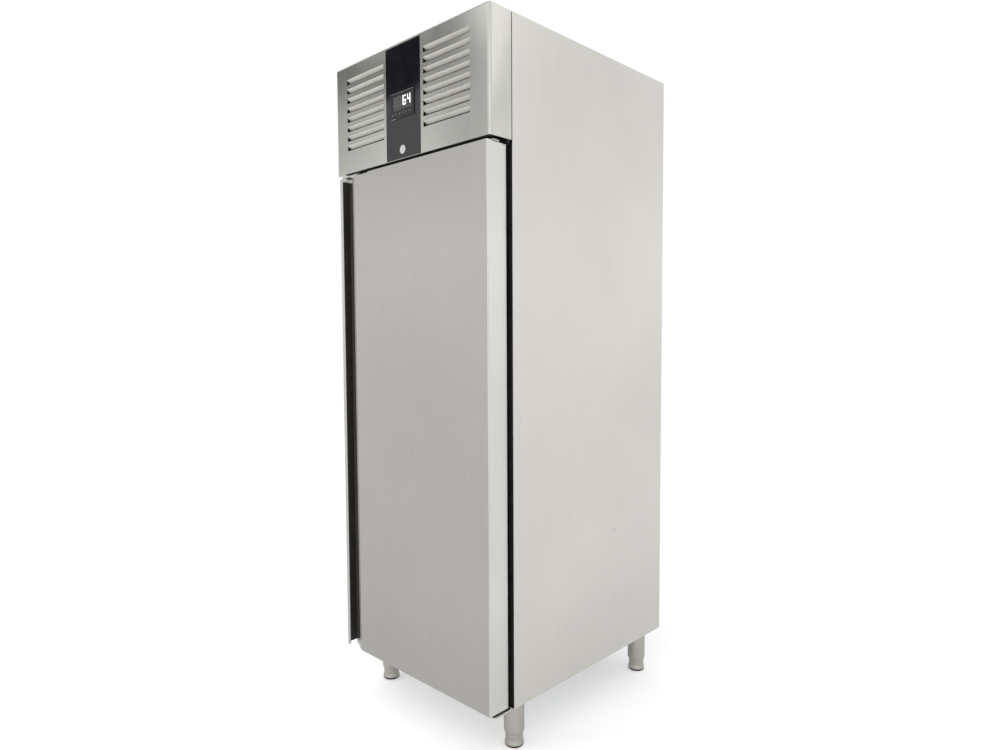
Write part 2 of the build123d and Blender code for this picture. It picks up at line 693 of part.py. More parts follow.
# Condensing unit on the deck: base plate, compressor on grommets, terminal box
unit_plate_thickness = 2
unit_side_margin = 44
unit_half_width = inside_x - unit_side_margin
unit_front_y = case_y + 25
unit_rear_y = grille_y - 40
unit_top_z = deck_top_z + unit_plate_thickness
compressor_x = 150
compressor_y = 150
compressor_radius = 88
compressor_height = 200
compressor_dome = 40
grommet_height = 12
grommet_radius = 12
grommet_spacing_x = 190
grommet_spacing_y = 120
foot_plate_thickness = 4
compressor_z = unit_top_z + grommet_height

with BuildPart() as unit_base_plate:
    block(-unit_half_width, unit_half_width, unit_front_y, unit_rear_y, deck_top_z, unit_top_z)
    upright(pipe_hole_x, pipe_hole_y, deck_top_z, unit_top_z, pipe_hole_radius, Mode.SUBTRACT)
unit_base_plate.part.label = "unit_base_plate"
export_step(unit_base_plate.part, "parts/unit_base_plate.step")

with BuildPart() as compressor_grommets:
    with Locations((compressor_x, compressor_y, unit_top_z + grommet_height / 2)):
        with GridLocations(grommet_spacing_x, grommet_spacing_y, 2, 2):
            Cylinder(grommet_radius, grommet_height)
compressor_grommets.part.label = "compressor_grommets"
export_step(compressor_grommets.part, "parts/compressor_grommets.step")

with BuildPart() as compressor:
    with Locations((compressor_x, compressor_y, compressor_z + foot_plate_thickness / 2)):
        Box(grommet_spacing_x + 30, grommet_spacing_y + 30, foot_plate_thickness)
    upright(compressor_x, compressor_y, compressor_z, compressor_z + compressor_height, compressor_radius)
    fillet(compressor.edges().filter_by(GeomType.CIRCLE).sort_by(Axis.Z)[-1], radius=compressor_dome)
    upright(compressor_x, compressor_y, compressor_z + 92, compressor_z + 98, compressor_radius + 4)
compressor.part.label = "compressor"
export_step(compressor.part, "parts/compressor.step")

with BuildPart() as terminal_box:
    block(compressor_x + compressor_radius + touch_gap, compressor_x + compressor_radius + 42,
          compressor_y - 30, compressor_y + 30, compressor_z + 30, compressor_z + 88)
    fillet(terminal_box.edges().filter_by(Axis.Z), radius=5)
terminal_box.part.label = "terminal_box"
export_step(terminal_box.part, "parts/terminal_box.step")

# Condenser behind the fascia's louvres, with its shroud, fan and motor
condenser_half_width = 170
condenser_front_y = unit_front_y + 10
condenser_rear_y = condenser_front_y + 50
condenser_top_z = unit_top_z + 216
shroud_depth = 40
condenser_fan_radius = 92
condenser_fan_thickness = 30
condenser_fan_z = (unit_top_z + condenser_top_z) / 2
condenser_fan_y = condenser_rear_y + shroud_depth / 2 + 2
condenser_motor_radius = 40
condenser_motor_length = 60
condenser_motor_y = condenser_fan_y + condenser_fan_thickness / 2 + touch_gap

with BuildPart() as condenser_coil:
    finned_coil(condenser_half_width, condenser_front_y, condenser_rear_y, unit_top_z, condenser_top_z, 7, 2)
condenser_coil.part.label = "condenser_coil"
export_step(condenser_coil.part, "parts/condenser_coil.step")

with BuildPart() as condenser_fan_shroud:
    block(-condenser_half_width - coil_fin_thickness, condenser_half_width + coil_fin_thickness,
          condenser_rear_y, condenser_rear_y + skin, unit_top_z, condenser_top_z)
    lengthwise(0, condenser_fan_z, condenser_rear_y, condenser_rear_y + shroud_depth,
               condenser_fan_radius + fan_ring_gap + 2)
    lengthwise(0, condenser_fan_z, condenser_rear_y, condenser_rear_y + shroud_depth,
               condenser_fan_radius + fan_ring_gap, Mode.SUBTRACT)
condenser_fan_shroud.part.label = "condenser_fan_shroud"
export_step(condenser_fan_shroud.part, "parts/condenser_fan_shroud.step")

with BuildPart() as condenser_fan_motor:
    lengthwise(0, condenser_fan_z, condenser_motor_y, condenser_motor_y + condenser_motor_length,
               condenser_motor_radius)
    lengthwise(0, condenser_fan_z, condenser_fan_y - condenser_fan_thickness / 2 + 1, condenser_motor_y,
               shaft_radius)
    arm_y = condenser_rear_y + shroud_depth
    for angle in (45, 135, 225, 315):
        arm_x, arm_z = cos(radians(angle)), sin(radians(angle))
        ring_radius = condenser_fan_radius + fan_ring_gap + 1
        middle_radius = (ring_radius + condenser_motor_radius) / 2
        with Locations((middle_radius * arm_x, arm_y + 2, condenser_fan_z + middle_radius * arm_z)):
            Box(ring_radius - condenser_motor_radius + 10, 4, 10, rotation=(0, -angle, 0))
condenser_fan_motor.part.label = "condenser_fan_motor"
export_step(condenser_fan_motor.part, "parts/condenser_fan_motor.step")

with BuildPart() as condenser_fan_blades:
    add(fan_wheel(0, condenser_fan_y, condenser_fan_z, condenser_fan_radius, 30, condenser_fan_thickness, 5, 30))
    lengthwise(0, condenser_fan_z, condenser_fan_y - condenser_fan_thickness,
               condenser_fan_y + condenser_fan_thickness, shaft_radius + running_gap, Mode.SUBTRACT)
condenser_fan_blades.part.label = "condenser_fan_blades"
export_step(condenser_fan_blades.part, "parts/condenser_fan_blades.step")

# Filter drier on the base plate, and the three refrigerant pipes
drier_radius = 12
drier_x = -230
drier_y = 40
drier_z = unit_top_z + drier_radius
drier_length = 120
pipe_radius = 4
suction_radius = 6

with BuildPart() as filter_drier:
    lengthwise(drier_x, drier_z, drier_y - drier_length / 2, drier_y + drier_length / 2, drier_radius)
    chamfer(filter_drier.edges().filter_by(GeomType.CIRCLE), length=7)
filter_drier.part.label = "filter_drier"
export_step(filter_drier.part, "parts/filter_drier.step")


def pipe(points, radius, bend):
    """A pipe along straight runs joined by arcs, in the part that is open."""
    with BuildLine() as route:
        FilletPolyline(*points, radius=bend)
    with BuildSketch(Plane(origin=points[0], z_dir=route.wire() % 0)) as section:
        Circle(radius)
    sweep(section.sketch, path=route.wire())


coil_row = (condenser_top_z - unit_top_z) / 7
tube_end_x = condenser_half_width + coil_fin_pitch
discharge_z = unit_top_z + 6.5 * coil_row
liquid_z = unit_top_z + 0.5 * coil_row
inlet_y = condenser_front_y + 12.5

with BuildPart() as refrigerant_pipes:
    pipe([(compressor_x - compressor_radius - 0.5, compressor_y, compressor_z + 60),
          (compressor_x - compressor_radius - 30, compressor_y, compressor_z + 60),
          (compressor_x - compressor_radius - 30, compressor_y, discharge_z + 24),
          (tube_end_x + 30, 0, discharge_z + 24),
          (tube_end_x + 30, inlet_y, discharge_z),
          (tube_end_x + 0.3, inlet_y, discharge_z)], pipe_radius, 14)
    pipe([(-tube_end_x - 0.3, inlet_y, liquid_z), (-tube_end_x - 48, inlet_y, liquid_z),
          (drier_x, drier_y - drier_length / 2 - 30, drier_z),
          (drier_x, drier_y - drier_length / 2, drier_z)], pipe_radius, 12)
    pipe([(drier_x, drier_y + drier_length / 2, drier_z), (drier_x, pipe_hole_y - 30, drier_z),
          (pipe_hole_x - 6, pipe_hole_y, drier_z), (pipe_hole_x - 6, pipe_hole_y, liner_ceiling_z + skin)],
         pipe_radius, 12)
    pipe([(compressor_x, compressor_y + compressor_radius + 0.5, compressor_z + 50),
          (compressor_x, compressor_y + compressor_radius + 32, compressor_z + 50),
          (pipe_hole_x + 5, compressor_y + compressor_radius + 32, compressor_z + 50),
          (pipe_hole_x + 5, pipe_hole_y, compressor_z + 30),
          (pipe_hole_x + 5, pipe_hole_y, liner_ceiling_z + skin)], suction_radius, 12)
refrigerant_pipes.part.label = "refrigerant_pipes"
export_step(refrigerant_pipes.part, "parts/refrigerant_pipes.step")

# Junction box on the base plate
junction_margin = 8
junction_width = 90
junction_depth = 55
junction_height = 110
junction_x0 = -unit_half_width + junction_margin
junction_x1 = junction_x0 + junction_width
junction_y1 = unit_rear_y - junction_margin
junction_y0 = junction_y1 - junction_depth

with BuildPart() as junction_box:
    block(junction_x0, junction_x1, junction_y0, junction_y1, unit_top_z, unit_top_z + junction_height)
    fillet(junction_box.edges().filter_by(Axis.Z), radius=4)
junction_box.part.label = "junction_box"
export_step(junction_box.part, "parts/junction_box.step")

# Door: outer skin, a pan with rounded upright front edges, open at the back
bush_radius = 10
bush_length = 25

with BuildPart() as door_outer_skin:
    with BuildSketch(Plane.XY.offset(door_bottom_z)):
        with Locations(((face_left_x + door_x) / 2, (front_y + door_back_y) / 2)):
            Rectangle(door_x - face_left_x, door_thickness)
    extrude(amount=door_height)
    upright_edges = door_outer_skin.edges().filter_by(Axis.Z)
    fillet(upright_edges.group_by(Axis.Y)[0], radius=door_corner_radius)
    offset(amount=-skin, openings=door_outer_skin.faces().sort_by(Axis.Y)[-1])
    block(face_left_x, face_left_x + skin, door_back_y - skin, door_back_y,
          door_bottom_z + skin, door_top_z - skin, Mode.SUBTRACT)
    upright(hinge_x, hinge_y, door_bottom_z, door_top_z, bush_radius, Mode.SUBTRACT)
door_outer_skin.part.label = "door_outer_skin"
export_step(door_outer_skin.part, "parts/door_outer_skin.step")

hinge_block_set_in = 1.5
hinge_block_reach = 16

with BuildPart() as hinge_bushes:
    block(bracket_x0, door_x - hinge_block_set_in, front_y + hinge_block_reach,
          door_back_y - hinge_block_set_in, lower_bracket_top_z + touch_gap, door_bottom_z)
    for low_z in (door_bottom_z, door_top_z - bush_length):
        upright(hinge_x, hinge_y, low_z, low_z + bush_length, bush_radius)
    upright(hinge_x, hinge_y, lower_bracket_z, door_top_z, pin_radius + running_gap, Mode.SUBTRACT)
hinge_bushes.part.label = "hinge_bushes"
export_step(hinge_bushes.part, "parts/hinge_bushes.step")

# Door handle: a stainless lip down the left edge and a dark grip channel beside it
lip_sheet = 1.5
lip_hem = 3
channel_left_x = -door_x + lip_width
channel_right_x = face_left_x
channel_back_y = front_y + channel_depth
channel_corner = 9
cap_thickness = 3
cap_skirt = 6
lower_cap_height = 12
liner_y = door_back_y - skin
channel_bottom_z = door_bottom_z + lower_cap_height
cap_under_z = door_top_z - cap_thickness
channel_top_z = cap_under_z - cap_skirt

with BuildPart() as handle_lip:
    block(-door_x, channel_left_x, front_y, front_y + lip_hem, door_bottom_z, door_top_z)
    block(-door_x, -door_x + lip_sheet, front_y, liner_y, channel_bottom_z, door_top_z)
    block(channel_left_x - lip_sheet, channel_left_x, front_y, channel_back_y - channel_corner,
          channel_bottom_z, door_top_z)
    fillet(handle_lip.edges().filter_by(Axis.Z).group_by(Axis.Y)[0], radius=lip_hem / 3)
handle_lip.part.label = "handle_lip"
export_step(handle_lip.part, "parts/handle_lip.step")

channel_front_y = front_y + lip_hem / 2

with BuildPart() as handle_channel:
    with BuildSketch(Plane.XY.offset(channel_bottom_z)) as channel_section:
        with BuildLine():
            Polyline((channel_left_x, channel_front_y),
                     (channel_left_x, channel_back_y - channel_corner),
                     (channel_left_x + channel_corner, channel_back_y),
                     (channel_right_x, channel_back_y),
                     (channel_right_x, front_y + 2 * door_corner_radius),
                     (channel_right_x - channel_wall, front_y + 2 * door_corner_radius),
                     (channel_right_x - channel_wall, channel_back_y - channel_wall),
                     (channel_left_x + channel_corner + channel_wall / 2, channel_back_y - channel_wall),
                     (channel_left_x + channel_wall, channel_back_y - channel_corner - channel_wall / 2),
                     (channel_left_x + channel_wall, channel_front_y), close=True)
        make_face()
    extrude(amount=channel_top_z - channel_bottom_z)
handle_channel.part.label = "handle_channel"
export_step(handle_channel.part, "parts/handle_channel.step")

# Door end caps: the lower one is cut back at a slant, the upper one has a hole and a skirt on the channel
cap_x0 = -door_x + lip_sheet
cap_x1 = face_left_x
cap_cut_depth = channel_depth - channel_corner
cap_hole_radius = 14
cap_hole_x = face_left_x - 29
cap_hole_y = front_y + 6

with BuildPart() as door_end_caps:
    with BuildSketch(Plane.XY.offset(door_bottom_z)):
        with BuildLine():
            Polyline((cap_x1, front_y + 1), (cap_x1, liner_y), (cap_x0, liner_y),
                     (cap_x0, front_y + channel_depth), (channel_left_x, front_y + cap_cut_depth), close=True)
        make_face()
    extrude(amount=lower_cap_height)
    block(channel_left_x, cap_x1, front_y + 1, liner_y, cap_under_z, door_top_z)
    block(cap_x0, channel_left_x, channel_back_y, liner_y, cap_under_z, door_top_z)
    upright(cap_hole_x, cap_hole_y, cap_under_z, door_top_z, cap_hole_radius, Mode.SUBTRACT)
    extrude(channel_section.sketch.moved(Location((0, 0, channel_top_z - channel_bottom_z))), amount=cap_skirt)
door_end_caps.part.label = "door_end_caps"
export_step(door_end_caps.part, "parts/door_end_caps.step")

# Door foam: fills the pan and the space behind the channel
with BuildPart() as door_foam:
    block(face_left_x, door_x - skin, front_y + skin, liner_y, door_bottom_z + skin, door_top_z - skin)
    block(face_left_x, face_left_x + skin, front_y, liner_y, door_bottom_z, door_top_z, Mode.SUBTRACT)
    fillet(door_foam.edges().filter_by(Axis.Z).group_by(Axis.Y)[0], radius=door_corner_radius - skin)
    block(-door_x + lip_sheet, face_left_x, channel_back_y, liner_y, channel_bottom_z, cap_under_z)
    upright(hinge_x, hinge_y, door_bottom_z, door_bottom_z + bush_length, bush_radius, Mode.SUBTRACT)
    upright(hinge_x, hinge_y, door_top_z - bush_length, door_top_z, bush_radius, Mode.SUBTRACT)
door_foam.part.label = "door_foam"
export_step(door_foam.part, "parts/door_foam.step")

# Door inner liner: a flat sheet with a shallow raised field inside the gasket
gasket_x0 = -door_x + lip_width
gasket_x1 = door_x - gasket_inset
gasket_z0 = door_bottom_z + gasket_inset
gasket_z1 = door_top_z - gasket_inset
field_gap = 12
field_height = 6
field_x0 = gasket_x0 + gasket_width + field_gap
field_x1 = gasket_x1 - gasket_width - field_gap
field_z0 = gasket_z0 + gasket_width + field_gap
field_z1 = gasket_z1 - gasket_width - field_gap

with BuildPart() as door_inner_liner:
    block(-door_x, door_x, liner_y, door_back_y, door_bottom_z, door_top_z)
    block(face_left_x, door_x, liner_y, door_back_y, door_bottom_z, door_top_z, Mode.SUBTRACT)
    block(face_left_x, door_x - skin, liner_y, door_back_y, door_bottom_z + skin, door_top_z - skin)
    block(field_x0, field_x1, door_back_y, door_back_y + field_height, field_z0, field_z1)
    block(field_x0 + skin, field_x1 - skin, liner_y, door_back_y + field_height - skin,
          field_z0 + skin, field_z1 - skin, Mode.SUBTRACT)
door_inner_liner.part.label = "door_inner_liner"
export_step(door_inner_liner.part, "parts/door_inner_liner.step")

# Gasket: a soft ring between the door's liner and the frame
gasket_front_y = door_back_y
gasket_rear_y = case_y - touch_gap

with BuildPart() as door_gasket:
    block(gasket_x0, gasket_x1, gasket_front_y, gasket_rear_y, gasket_z0, gasket_z1)
    block(gasket_x0 + gasket_width, gasket_x1 - gasket_width, gasket_front_y, gasket_rear_y,
          gasket_z0 + gasket_width, gasket_z1 - gasket_width, Mode.SUBTRACT)
    fillet(door_gasket.edges().filter_by(Axis.Z), radius=2)
door_gasket.part.label = "door_gasket"
export_step(door_gasket.part, "parts/door_gasket.step")

# Fascia: a folded hood over the machine compartment, with two banks of inward louvres
strip_x0 = panel_shift - strip_width / 2
strip_x1 = panel_shift + strip_width / 2
strip_z0 = fascia_z + strip_bottom_margin
strip_z1 = height - strip_top_margin
louvre_starts = (strip_x0 - louvre_from_strip - louvre_length, strip_x1 + louvre_from_strip)
louvre_rise = fascia_height - louvre_from_top - louvre_height - louvre_from_foot
louvre_count = int(louvre_rise / louvre_pitch) + 1
louvre_tops = [height - louvre_from_top - step * louvre_pitch for step in range(louvre_count)]
louvre_drop = sqrt(louvre_blade ** 2 - louvre_depth ** 2)
fascia_rear_y = case_y - fascia_seam
strip_clearance = 0.2

with BuildPart() as fascia_panel:
    with BuildSketch(Plane.XY.offset(fascia_z)):
        with Locations((0, (front_y + fascia_rear_y) / 2)):
            Rectangle(width, fascia_rear_y - front_y)
    extrude(amount=fascia_height)
    fillet(fascia_panel.edges().filter_by(Axis.Z).group_by(Axis.Y)[0], radius=fascia_corner_radius)
    offset(amount=-skin, openings=fascia_panel.faces().sort_by(Axis.Y)[-1])
    block(-inside_x, inside_x, front_y + fascia_return, fascia_rear_y, fascia_z, fascia_z + skin, Mode.SUBTRACT)
    block(strip_x0 - strip_clearance, strip_x1 + strip_clearance, front_y, front_y + skin,
          strip_z0 - strip_clearance, strip_z1 + strip_clearance, Mode.SUBTRACT)
    for top_z in louvre_tops:
        for start_x in louvre_starts:
            block(start_x, start_x + louvre_length, front_y, front_y + skin, top_z - louvre_height, top_z,
                  Mode.SUBTRACT)
            with BuildSketch(Plane.YZ.offset(start_x)):
                with BuildLine():
                    lift_y = louvre_drop / louvre_blade * skin
                    lift_z = louvre_depth / louvre_blade * skin
                    Polyline((front_y, top_z), (front_y + louvre_depth, top_z - louvre_drop),
                             (front_y + louvre_depth + lift_y, top_z - louvre_drop + lift_z),
                             (front_y + lift_y, top_z + lift_z), close=True)
                make_face()
            extrude(amount=louvre_length)
    for side in (-1, 1):
        ends = sorted((side * (inside_x - 4), side * inside_x))
        crosswise(pivot_y, pivot_z, ends[0], ends[1], fascia_pin_radius + 2)
        ends = sorted((side * (inside_x - 5), side * (inside_x - 1)))
        crosswise(pivot_y, pivot_z, ends[0], ends[1], fascia_pin_radius + running_gap, Mode.SUBTRACT)
fascia_panel.part.label = "fascia_panel"
export_step(fascia_panel.part, "parts/fascia_panel.step")

# Control strip: set in the fascia's cut-out, with a rim bonded behind the sheet
strip_proud = 0.5
strip_rim = 6
strip_back = 2
bezel_width = 107
bezel_height = 73
bezel_top_from_top = 140.5
bezel_corner = 2
controller_body_depth = 40
controller_x = panel_shift
controller_z = height - bezel_top_from_top - bezel_height / 2
body_margin = 5
lock_x = panel_shift
lock_z = fascia_z + 25
lock_body_radius = 9
lock_face_radius = 12.5
strip_rim_top_z = min(strip_z1 + strip_rim, height - 2 * skin)
strip_rim_bottom_z = max(strip_z0 - strip_rim, fascia_z + skin)

with BuildPart() as control_panel:
    block(strip_x0, strip_x1, front_y - strip_proud, front_y + skin, strip_z0, strip_z1)
    block(strip_x0 - strip_rim, strip_x1 + strip_rim, front_y + skin, front_y + skin + strip_back,
          strip_rim_bottom_z, strip_rim_top_z)
    block(controller_x - bezel_width / 2 + body_margin, controller_x + bezel_width / 2 - body_margin,
          front_y - strip_proud, front_y + skin + strip_back,
          controller_z - bezel_height / 2 + body_margin, controller_z + bezel_height / 2 - body_margin,
          Mode.SUBTRACT)
    lengthwise(lock_x, lock_z, front_y - strip_proud, front_y + skin + strip_back, lock_body_radius, Mode.SUBTRACT)
control_panel.part.label = "control_panel"
export_step(control_panel.part, "parts/control_panel.step")

# Controller: bezel and body in one moulding, with a recess for the window
window_width = 86
window_height = 41
window_rise = 7.5
window_thickness = 1
window_z = controller_z + window_rise
bezel_front_y = front_y - bezel_proud

with BuildPart() as controller_module:
    block(controller_x - bezel_width / 2, controller_x + bezel_width / 2, bezel_front_y,
          front_y - strip_proud, controller_z - bezel_height / 2, controller_z + bezel_height / 2)
    fillet(controller_module.edges().filter_by(Axis.Y), radius=bezel_corner)
    block(controller_x - bezel_width / 2 + body_margin, controller_x + bezel_width / 2 - body_margin,
          front_y - strip_proud, front_y + controller_body_depth,
          controller_z - bezel_height / 2 + body_margin, controller_z + bezel_height / 2 - body_margin)
    block(controller_x - window_width / 2, controller_x + window_width / 2, bezel_front_y,
          bezel_front_y + window_thickness, window_z - window_height / 2, window_z + window_height / 2,
          Mode.SUBTRACT)
controller_module.part.label = "controller_module"
export_step(controller_module.part, "parts/controller_module.step")

# Display: the window's plate and its lit figures
figure_height = 27
figure_width = 14
figure_stroke = 3.4
figure_pitch = 20.5
figure_z = window_z + 3
figure_thickness = 0.4
figure_y = bezel_front_y + figure_thickness
segments = {
    "6": "afgedc",
    "4": "fgbc",
}

with BuildPart() as display_window:
    block(controller_x - window_width / 2, controller_x + window_width / 2, figure_y,
          bezel_front_y + window_thickness, window_z - window_height / 2, window_z + window_height / 2)
display_window.part.label = "display_window"
export_step(display_window.part, "parts/display_window.step")


def figure(centre_x, lit):
    """The lit bars of one seven-bar figure, lettered a to g clockwise from the top, g in the middle."""
    x0, x1 = centre_x - figure_width / 2, centre_x + figure_width / 2
    z0, z1 = figure_z - figure_height / 2, figure_z + figure_height / 2
    bars = {
        "a": (x0, x1, z1 - figure_stroke, z1),
        "b": (x1 - figure_stroke, x1, figure_z, z1),
        "c": (x1 - figure_stroke, x1, z0, figure_z),
        "d": (x0, x1, z0, z0 + figure_stroke),
        "e": (x0, x0 + figure_stroke, z0, figure_z),
        "f": (x0, x0 + figure_stroke, figure_z, z1),
        "g": (x0, x1, figure_z - figure_stroke / 2, figure_z + figure_stroke / 2),
    }
    for letter in lit:
        left, right, low, high = bars[letter]
        block(left, right, bezel_front_y, figure_y, low, high)


with BuildPart() as display_digits:
    figure(controller_x + figure_pitch / 2 - 1, segments["6"])
    figure(controller_x + 1.5 * figure_pitch - 1, segments["4"])
display_digits.part.label = "display_digits"
export_step(display_digits.part, "parts/display_digits.step")

# Lock: a fixed housing in the strip, a turning barrel, and the cam that drops before the keeper
lock_front_y = front_y - proud
lock_face_y = front_y - strip_proud
plug_radius = 7
nut_radius = 13
nut_length = 5
lock_rear_y = front_y + skin + strip_back + nut_length
cam_y = front_y + 20
cam_thickness = 3
cam_reach = 34
cam_width = 14
key_slot_width = 2
key_slot_height = 8
key_slot_depth = 2

with BuildPart() as lock_housing:
    lengthwise(lock_x, lock_z, lock_front_y, lock_face_y, lock_face_radius)
    lengthwise(lock_x, lock_z, lock_face_y, lock_rear_y, lock_body_radius)
    lengthwise(lock_x, lock_z, front_y + skin + strip_back, lock_rear_y, nut_radius)
    lengthwise(lock_x, lock_z, lock_front_y, lock_rear_y, plug_radius + running_gap, Mode.SUBTRACT)
lock_housing.part.label = "lock_housing"
export_step(lock_housing.part, "parts/lock_housing.step")

with BuildPart() as lock_barrel:
    lengthwise(lock_x, lock_z, lock_front_y + 0.4, cam_y, plug_radius)
    block(lock_x - key_slot_width / 2, lock_x + key_slot_width / 2, lock_front_y,
          lock_front_y + key_slot_depth, lock_z - key_slot_height / 2, lock_z + key_slot_height / 2,
          Mode.SUBTRACT)
lock_barrel.part.label = "lock_barrel"
export_step(lock_barrel.part, "parts/lock_barrel.step")

with BuildPart() as lock_cam:
    block(lock_x, lock_x + cam_reach, cam_y, cam_y + cam_thickness, lock_z - cam_width / 2, lock_z + cam_width / 2)
    lengthwise(lock_x, lock_z, cam_y, cam_y + cam_thickness, cam_width / 2)
    lengthwise(lock_x, lock_z, cam_y + cam_thickness, cam_y + cam_thickness + 4, 5)
lock_cam.part.label = "lock_cam"
export_step(lock_cam.part, "parts/lock_cam.step")

# Keeper: an angle on the door's top edge that the cam stands in front of when locked
keeper_half_width = 22
keeper_sheet = 2
keeper_y = cam_y + cam_thickness + 5
keeper_depth = 22
keeper_top_z = fascia_z - 2

with BuildPart() as lock_keeper:
    block(lock_x - keeper_half_width, lock_x + keeper_half_width, keeper_y, keeper_y + keeper_depth,
          door_top_z, door_top_z + keeper_sheet)
    block(lock_x - keeper_half_width, lock_x + keeper_half_width, keeper_y, keeper_y + keeper_sheet,
          door_top_z, keeper_top_z)
lock_keeper.part.label = "lock_keeper"
export_step(lock_keeper.part, "parts/lock_keeper.step")
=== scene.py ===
import json
import math

import bmesh
import bpy
from mathutils import Matrix, Vector


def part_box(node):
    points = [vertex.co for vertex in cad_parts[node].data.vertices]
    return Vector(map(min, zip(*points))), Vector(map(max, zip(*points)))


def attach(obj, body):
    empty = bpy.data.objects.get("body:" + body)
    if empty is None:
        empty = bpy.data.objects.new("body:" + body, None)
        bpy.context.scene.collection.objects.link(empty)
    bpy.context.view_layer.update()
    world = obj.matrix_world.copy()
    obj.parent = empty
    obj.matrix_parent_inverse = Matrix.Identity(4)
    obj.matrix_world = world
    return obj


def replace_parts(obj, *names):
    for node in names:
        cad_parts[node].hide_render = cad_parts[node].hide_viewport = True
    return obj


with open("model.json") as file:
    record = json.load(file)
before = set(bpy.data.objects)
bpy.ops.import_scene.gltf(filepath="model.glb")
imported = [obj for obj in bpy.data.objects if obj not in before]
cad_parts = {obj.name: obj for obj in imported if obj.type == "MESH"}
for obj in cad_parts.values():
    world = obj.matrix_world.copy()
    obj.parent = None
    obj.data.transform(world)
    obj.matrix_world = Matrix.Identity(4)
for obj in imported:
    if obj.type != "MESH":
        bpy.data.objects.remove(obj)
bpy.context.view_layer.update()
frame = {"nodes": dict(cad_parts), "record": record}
nodes = frame["nodes"]
scene = bpy.context.scene
MM = 0.001

# Places read from the CAD nodes, which the camera and the pieces are set out from
fascia_low, fascia_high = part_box("fascia_panel")
bezel_low, bezel_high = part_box("controller_module")
window_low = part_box("display_window")[0]
figures_low, figures_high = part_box("display_digits")
case_low, case_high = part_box("right_side_panel")
door_low, door_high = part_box("door_outer_skin")
bracket_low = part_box("hinge_brackets")[0]
gasket_low, gasket_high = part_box("door_gasket")
rail_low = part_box("top_rail")[0]
channel_low, channel_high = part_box("handle_channel")
FRONT_Y = fascia_low.y
CASE_Y = case_low.y
FASCIA_Z = fascia_low.z
DOOR_TOP_Z = door_high.z

# Camera: the photograph's own, from a perspective fit
CAMERA_PLACE = (1.6189, CASE_Y - 1.3684, 1.174)
CAMERA_LENS = 25.255
CAMERA_SENSOR = 36
CAMERA_YAW, CAMERA_PITCH, CAMERA_ROLL = (math.radians(a) for a in (44.03, -3.33, -0.27))


def make_camera():
    data = bpy.data.cameras.new("camera")
    data.lens = CAMERA_LENS
    data.sensor_width = CAMERA_SENSOR
    data.clip_end = 100
    camera = bpy.data.objects.new("camera", data)
    scene.collection.objects.link(camera)
    ahead = Vector((-math.sin(CAMERA_YAW) * math.cos(CAMERA_PITCH),
                    math.cos(CAMERA_YAW) * math.cos(CAMERA_PITCH), math.sin(CAMERA_PITCH)))
    right = Vector((math.cos(CAMERA_YAW), math.sin(CAMERA_YAW), 0))
    up = right.cross(ahead)
    turned_right = right * math.cos(CAMERA_ROLL) + up * math.sin(CAMERA_ROLL)
    turned_up = up * math.cos(CAMERA_ROLL) - right * math.sin(CAMERA_ROLL)
    turn = Matrix((turned_right, turned_up, -ahead)).transposed()
    camera.matrix_world = Matrix.Translation(CAMERA_PLACE) @ turn.to_4x4()
    scene.camera = camera


make_camera()
scene.view_settings.view_transform = "Standard"


# Material helpers
def srgb(red, green, blue):
    """A colour of 0 to 255 as the linear colour that a shader takes."""
    shares = (value / 255 for value in (red, green, blue))
    return (*(s / 12.92 if s <= 0.04045 else ((s + 0.055) / 1.055) ** 2.4 for s in shares), 1)


def shaded(colour, share):
    """A colour made darker, or lighter up to white."""
    return (*(min(1, value * share) for value in colour[:3]), 1)


class Look:
    """One material and short calls for the textures that the materials share."""

    def __init__(self, name):
        self.material = bpy.data.materials.new(name)
        self.material.use_nodes = True
        self.nodes = self.material.node_tree.nodes
        self.link = self.material.node_tree.links.new
        self.shader = self.nodes["Principled BSDF"]
        self.place = self.nodes.new("ShaderNodeTexCoord").outputs["Object"]

    def noise(self, scale, detail=3.0, stretch=(1, 1, 1), roughness=0.5, distortion=0.0):
        stretched = self.nodes.new("ShaderNodeMapping")
        stretched.inputs["Scale"].default_value = stretch
        self.link(self.place, stretched.inputs["Vector"])
        node = self.nodes.new("ShaderNodeTexNoise")
        node.inputs["Scale"].default_value = scale
        node.inputs["Detail"].default_value = detail
        node.inputs["Roughness"].default_value = roughness
        node.inputs["Distortion"].default_value = distortion
        self.link(stretched.outputs["Vector"], node.inputs["Vector"])
        return node.outputs["Fac"]

    def spread(self, value, low, high, start=0.3, end=0.7):
        node = self.nodes.new("ShaderNodeMapRange")
        for name, number in (("From Min", start), ("From Max", end), ("To Min", low), ("To Max", high)):
            node.inputs[name].default_value = number
        self.link(value, node.inputs["Value"])
        return node.outputs["Result"]

    def joined(self, first, second, operation):
        node = self.nodes.new("ShaderNodeMath")
        node.operation = operation
        self.link(first, node.inputs[0])
        self.link(second, node.inputs[1])
        return node.outputs["Value"]

    def tint(self, factor, first, second):
        node = self.nodes.new("ShaderNodeValToRGB")
        node.color_ramp.elements[0].color = first
        node.color_ramp.elements[1].color = second
        self.link(factor, node.inputs["Fac"])
        return node.outputs["Color"]

    def bump(self, value, strength):
        node = self.nodes.new("ShaderNodeBump")
        node.inputs["Strength"].default_value = strength
        node.inputs["Distance"].default_value = 0.2 * MM
        self.link(value, node.inputs["Height"])
        self.link(node.outputs["Normal"], self.shader.inputs["Normal"])

    def colour(self, value):
        self.link(value, self.shader.inputs["Base Color"])

    def roughness(self, value):
        self.link(value, self.shader.inputs["Roughness"])


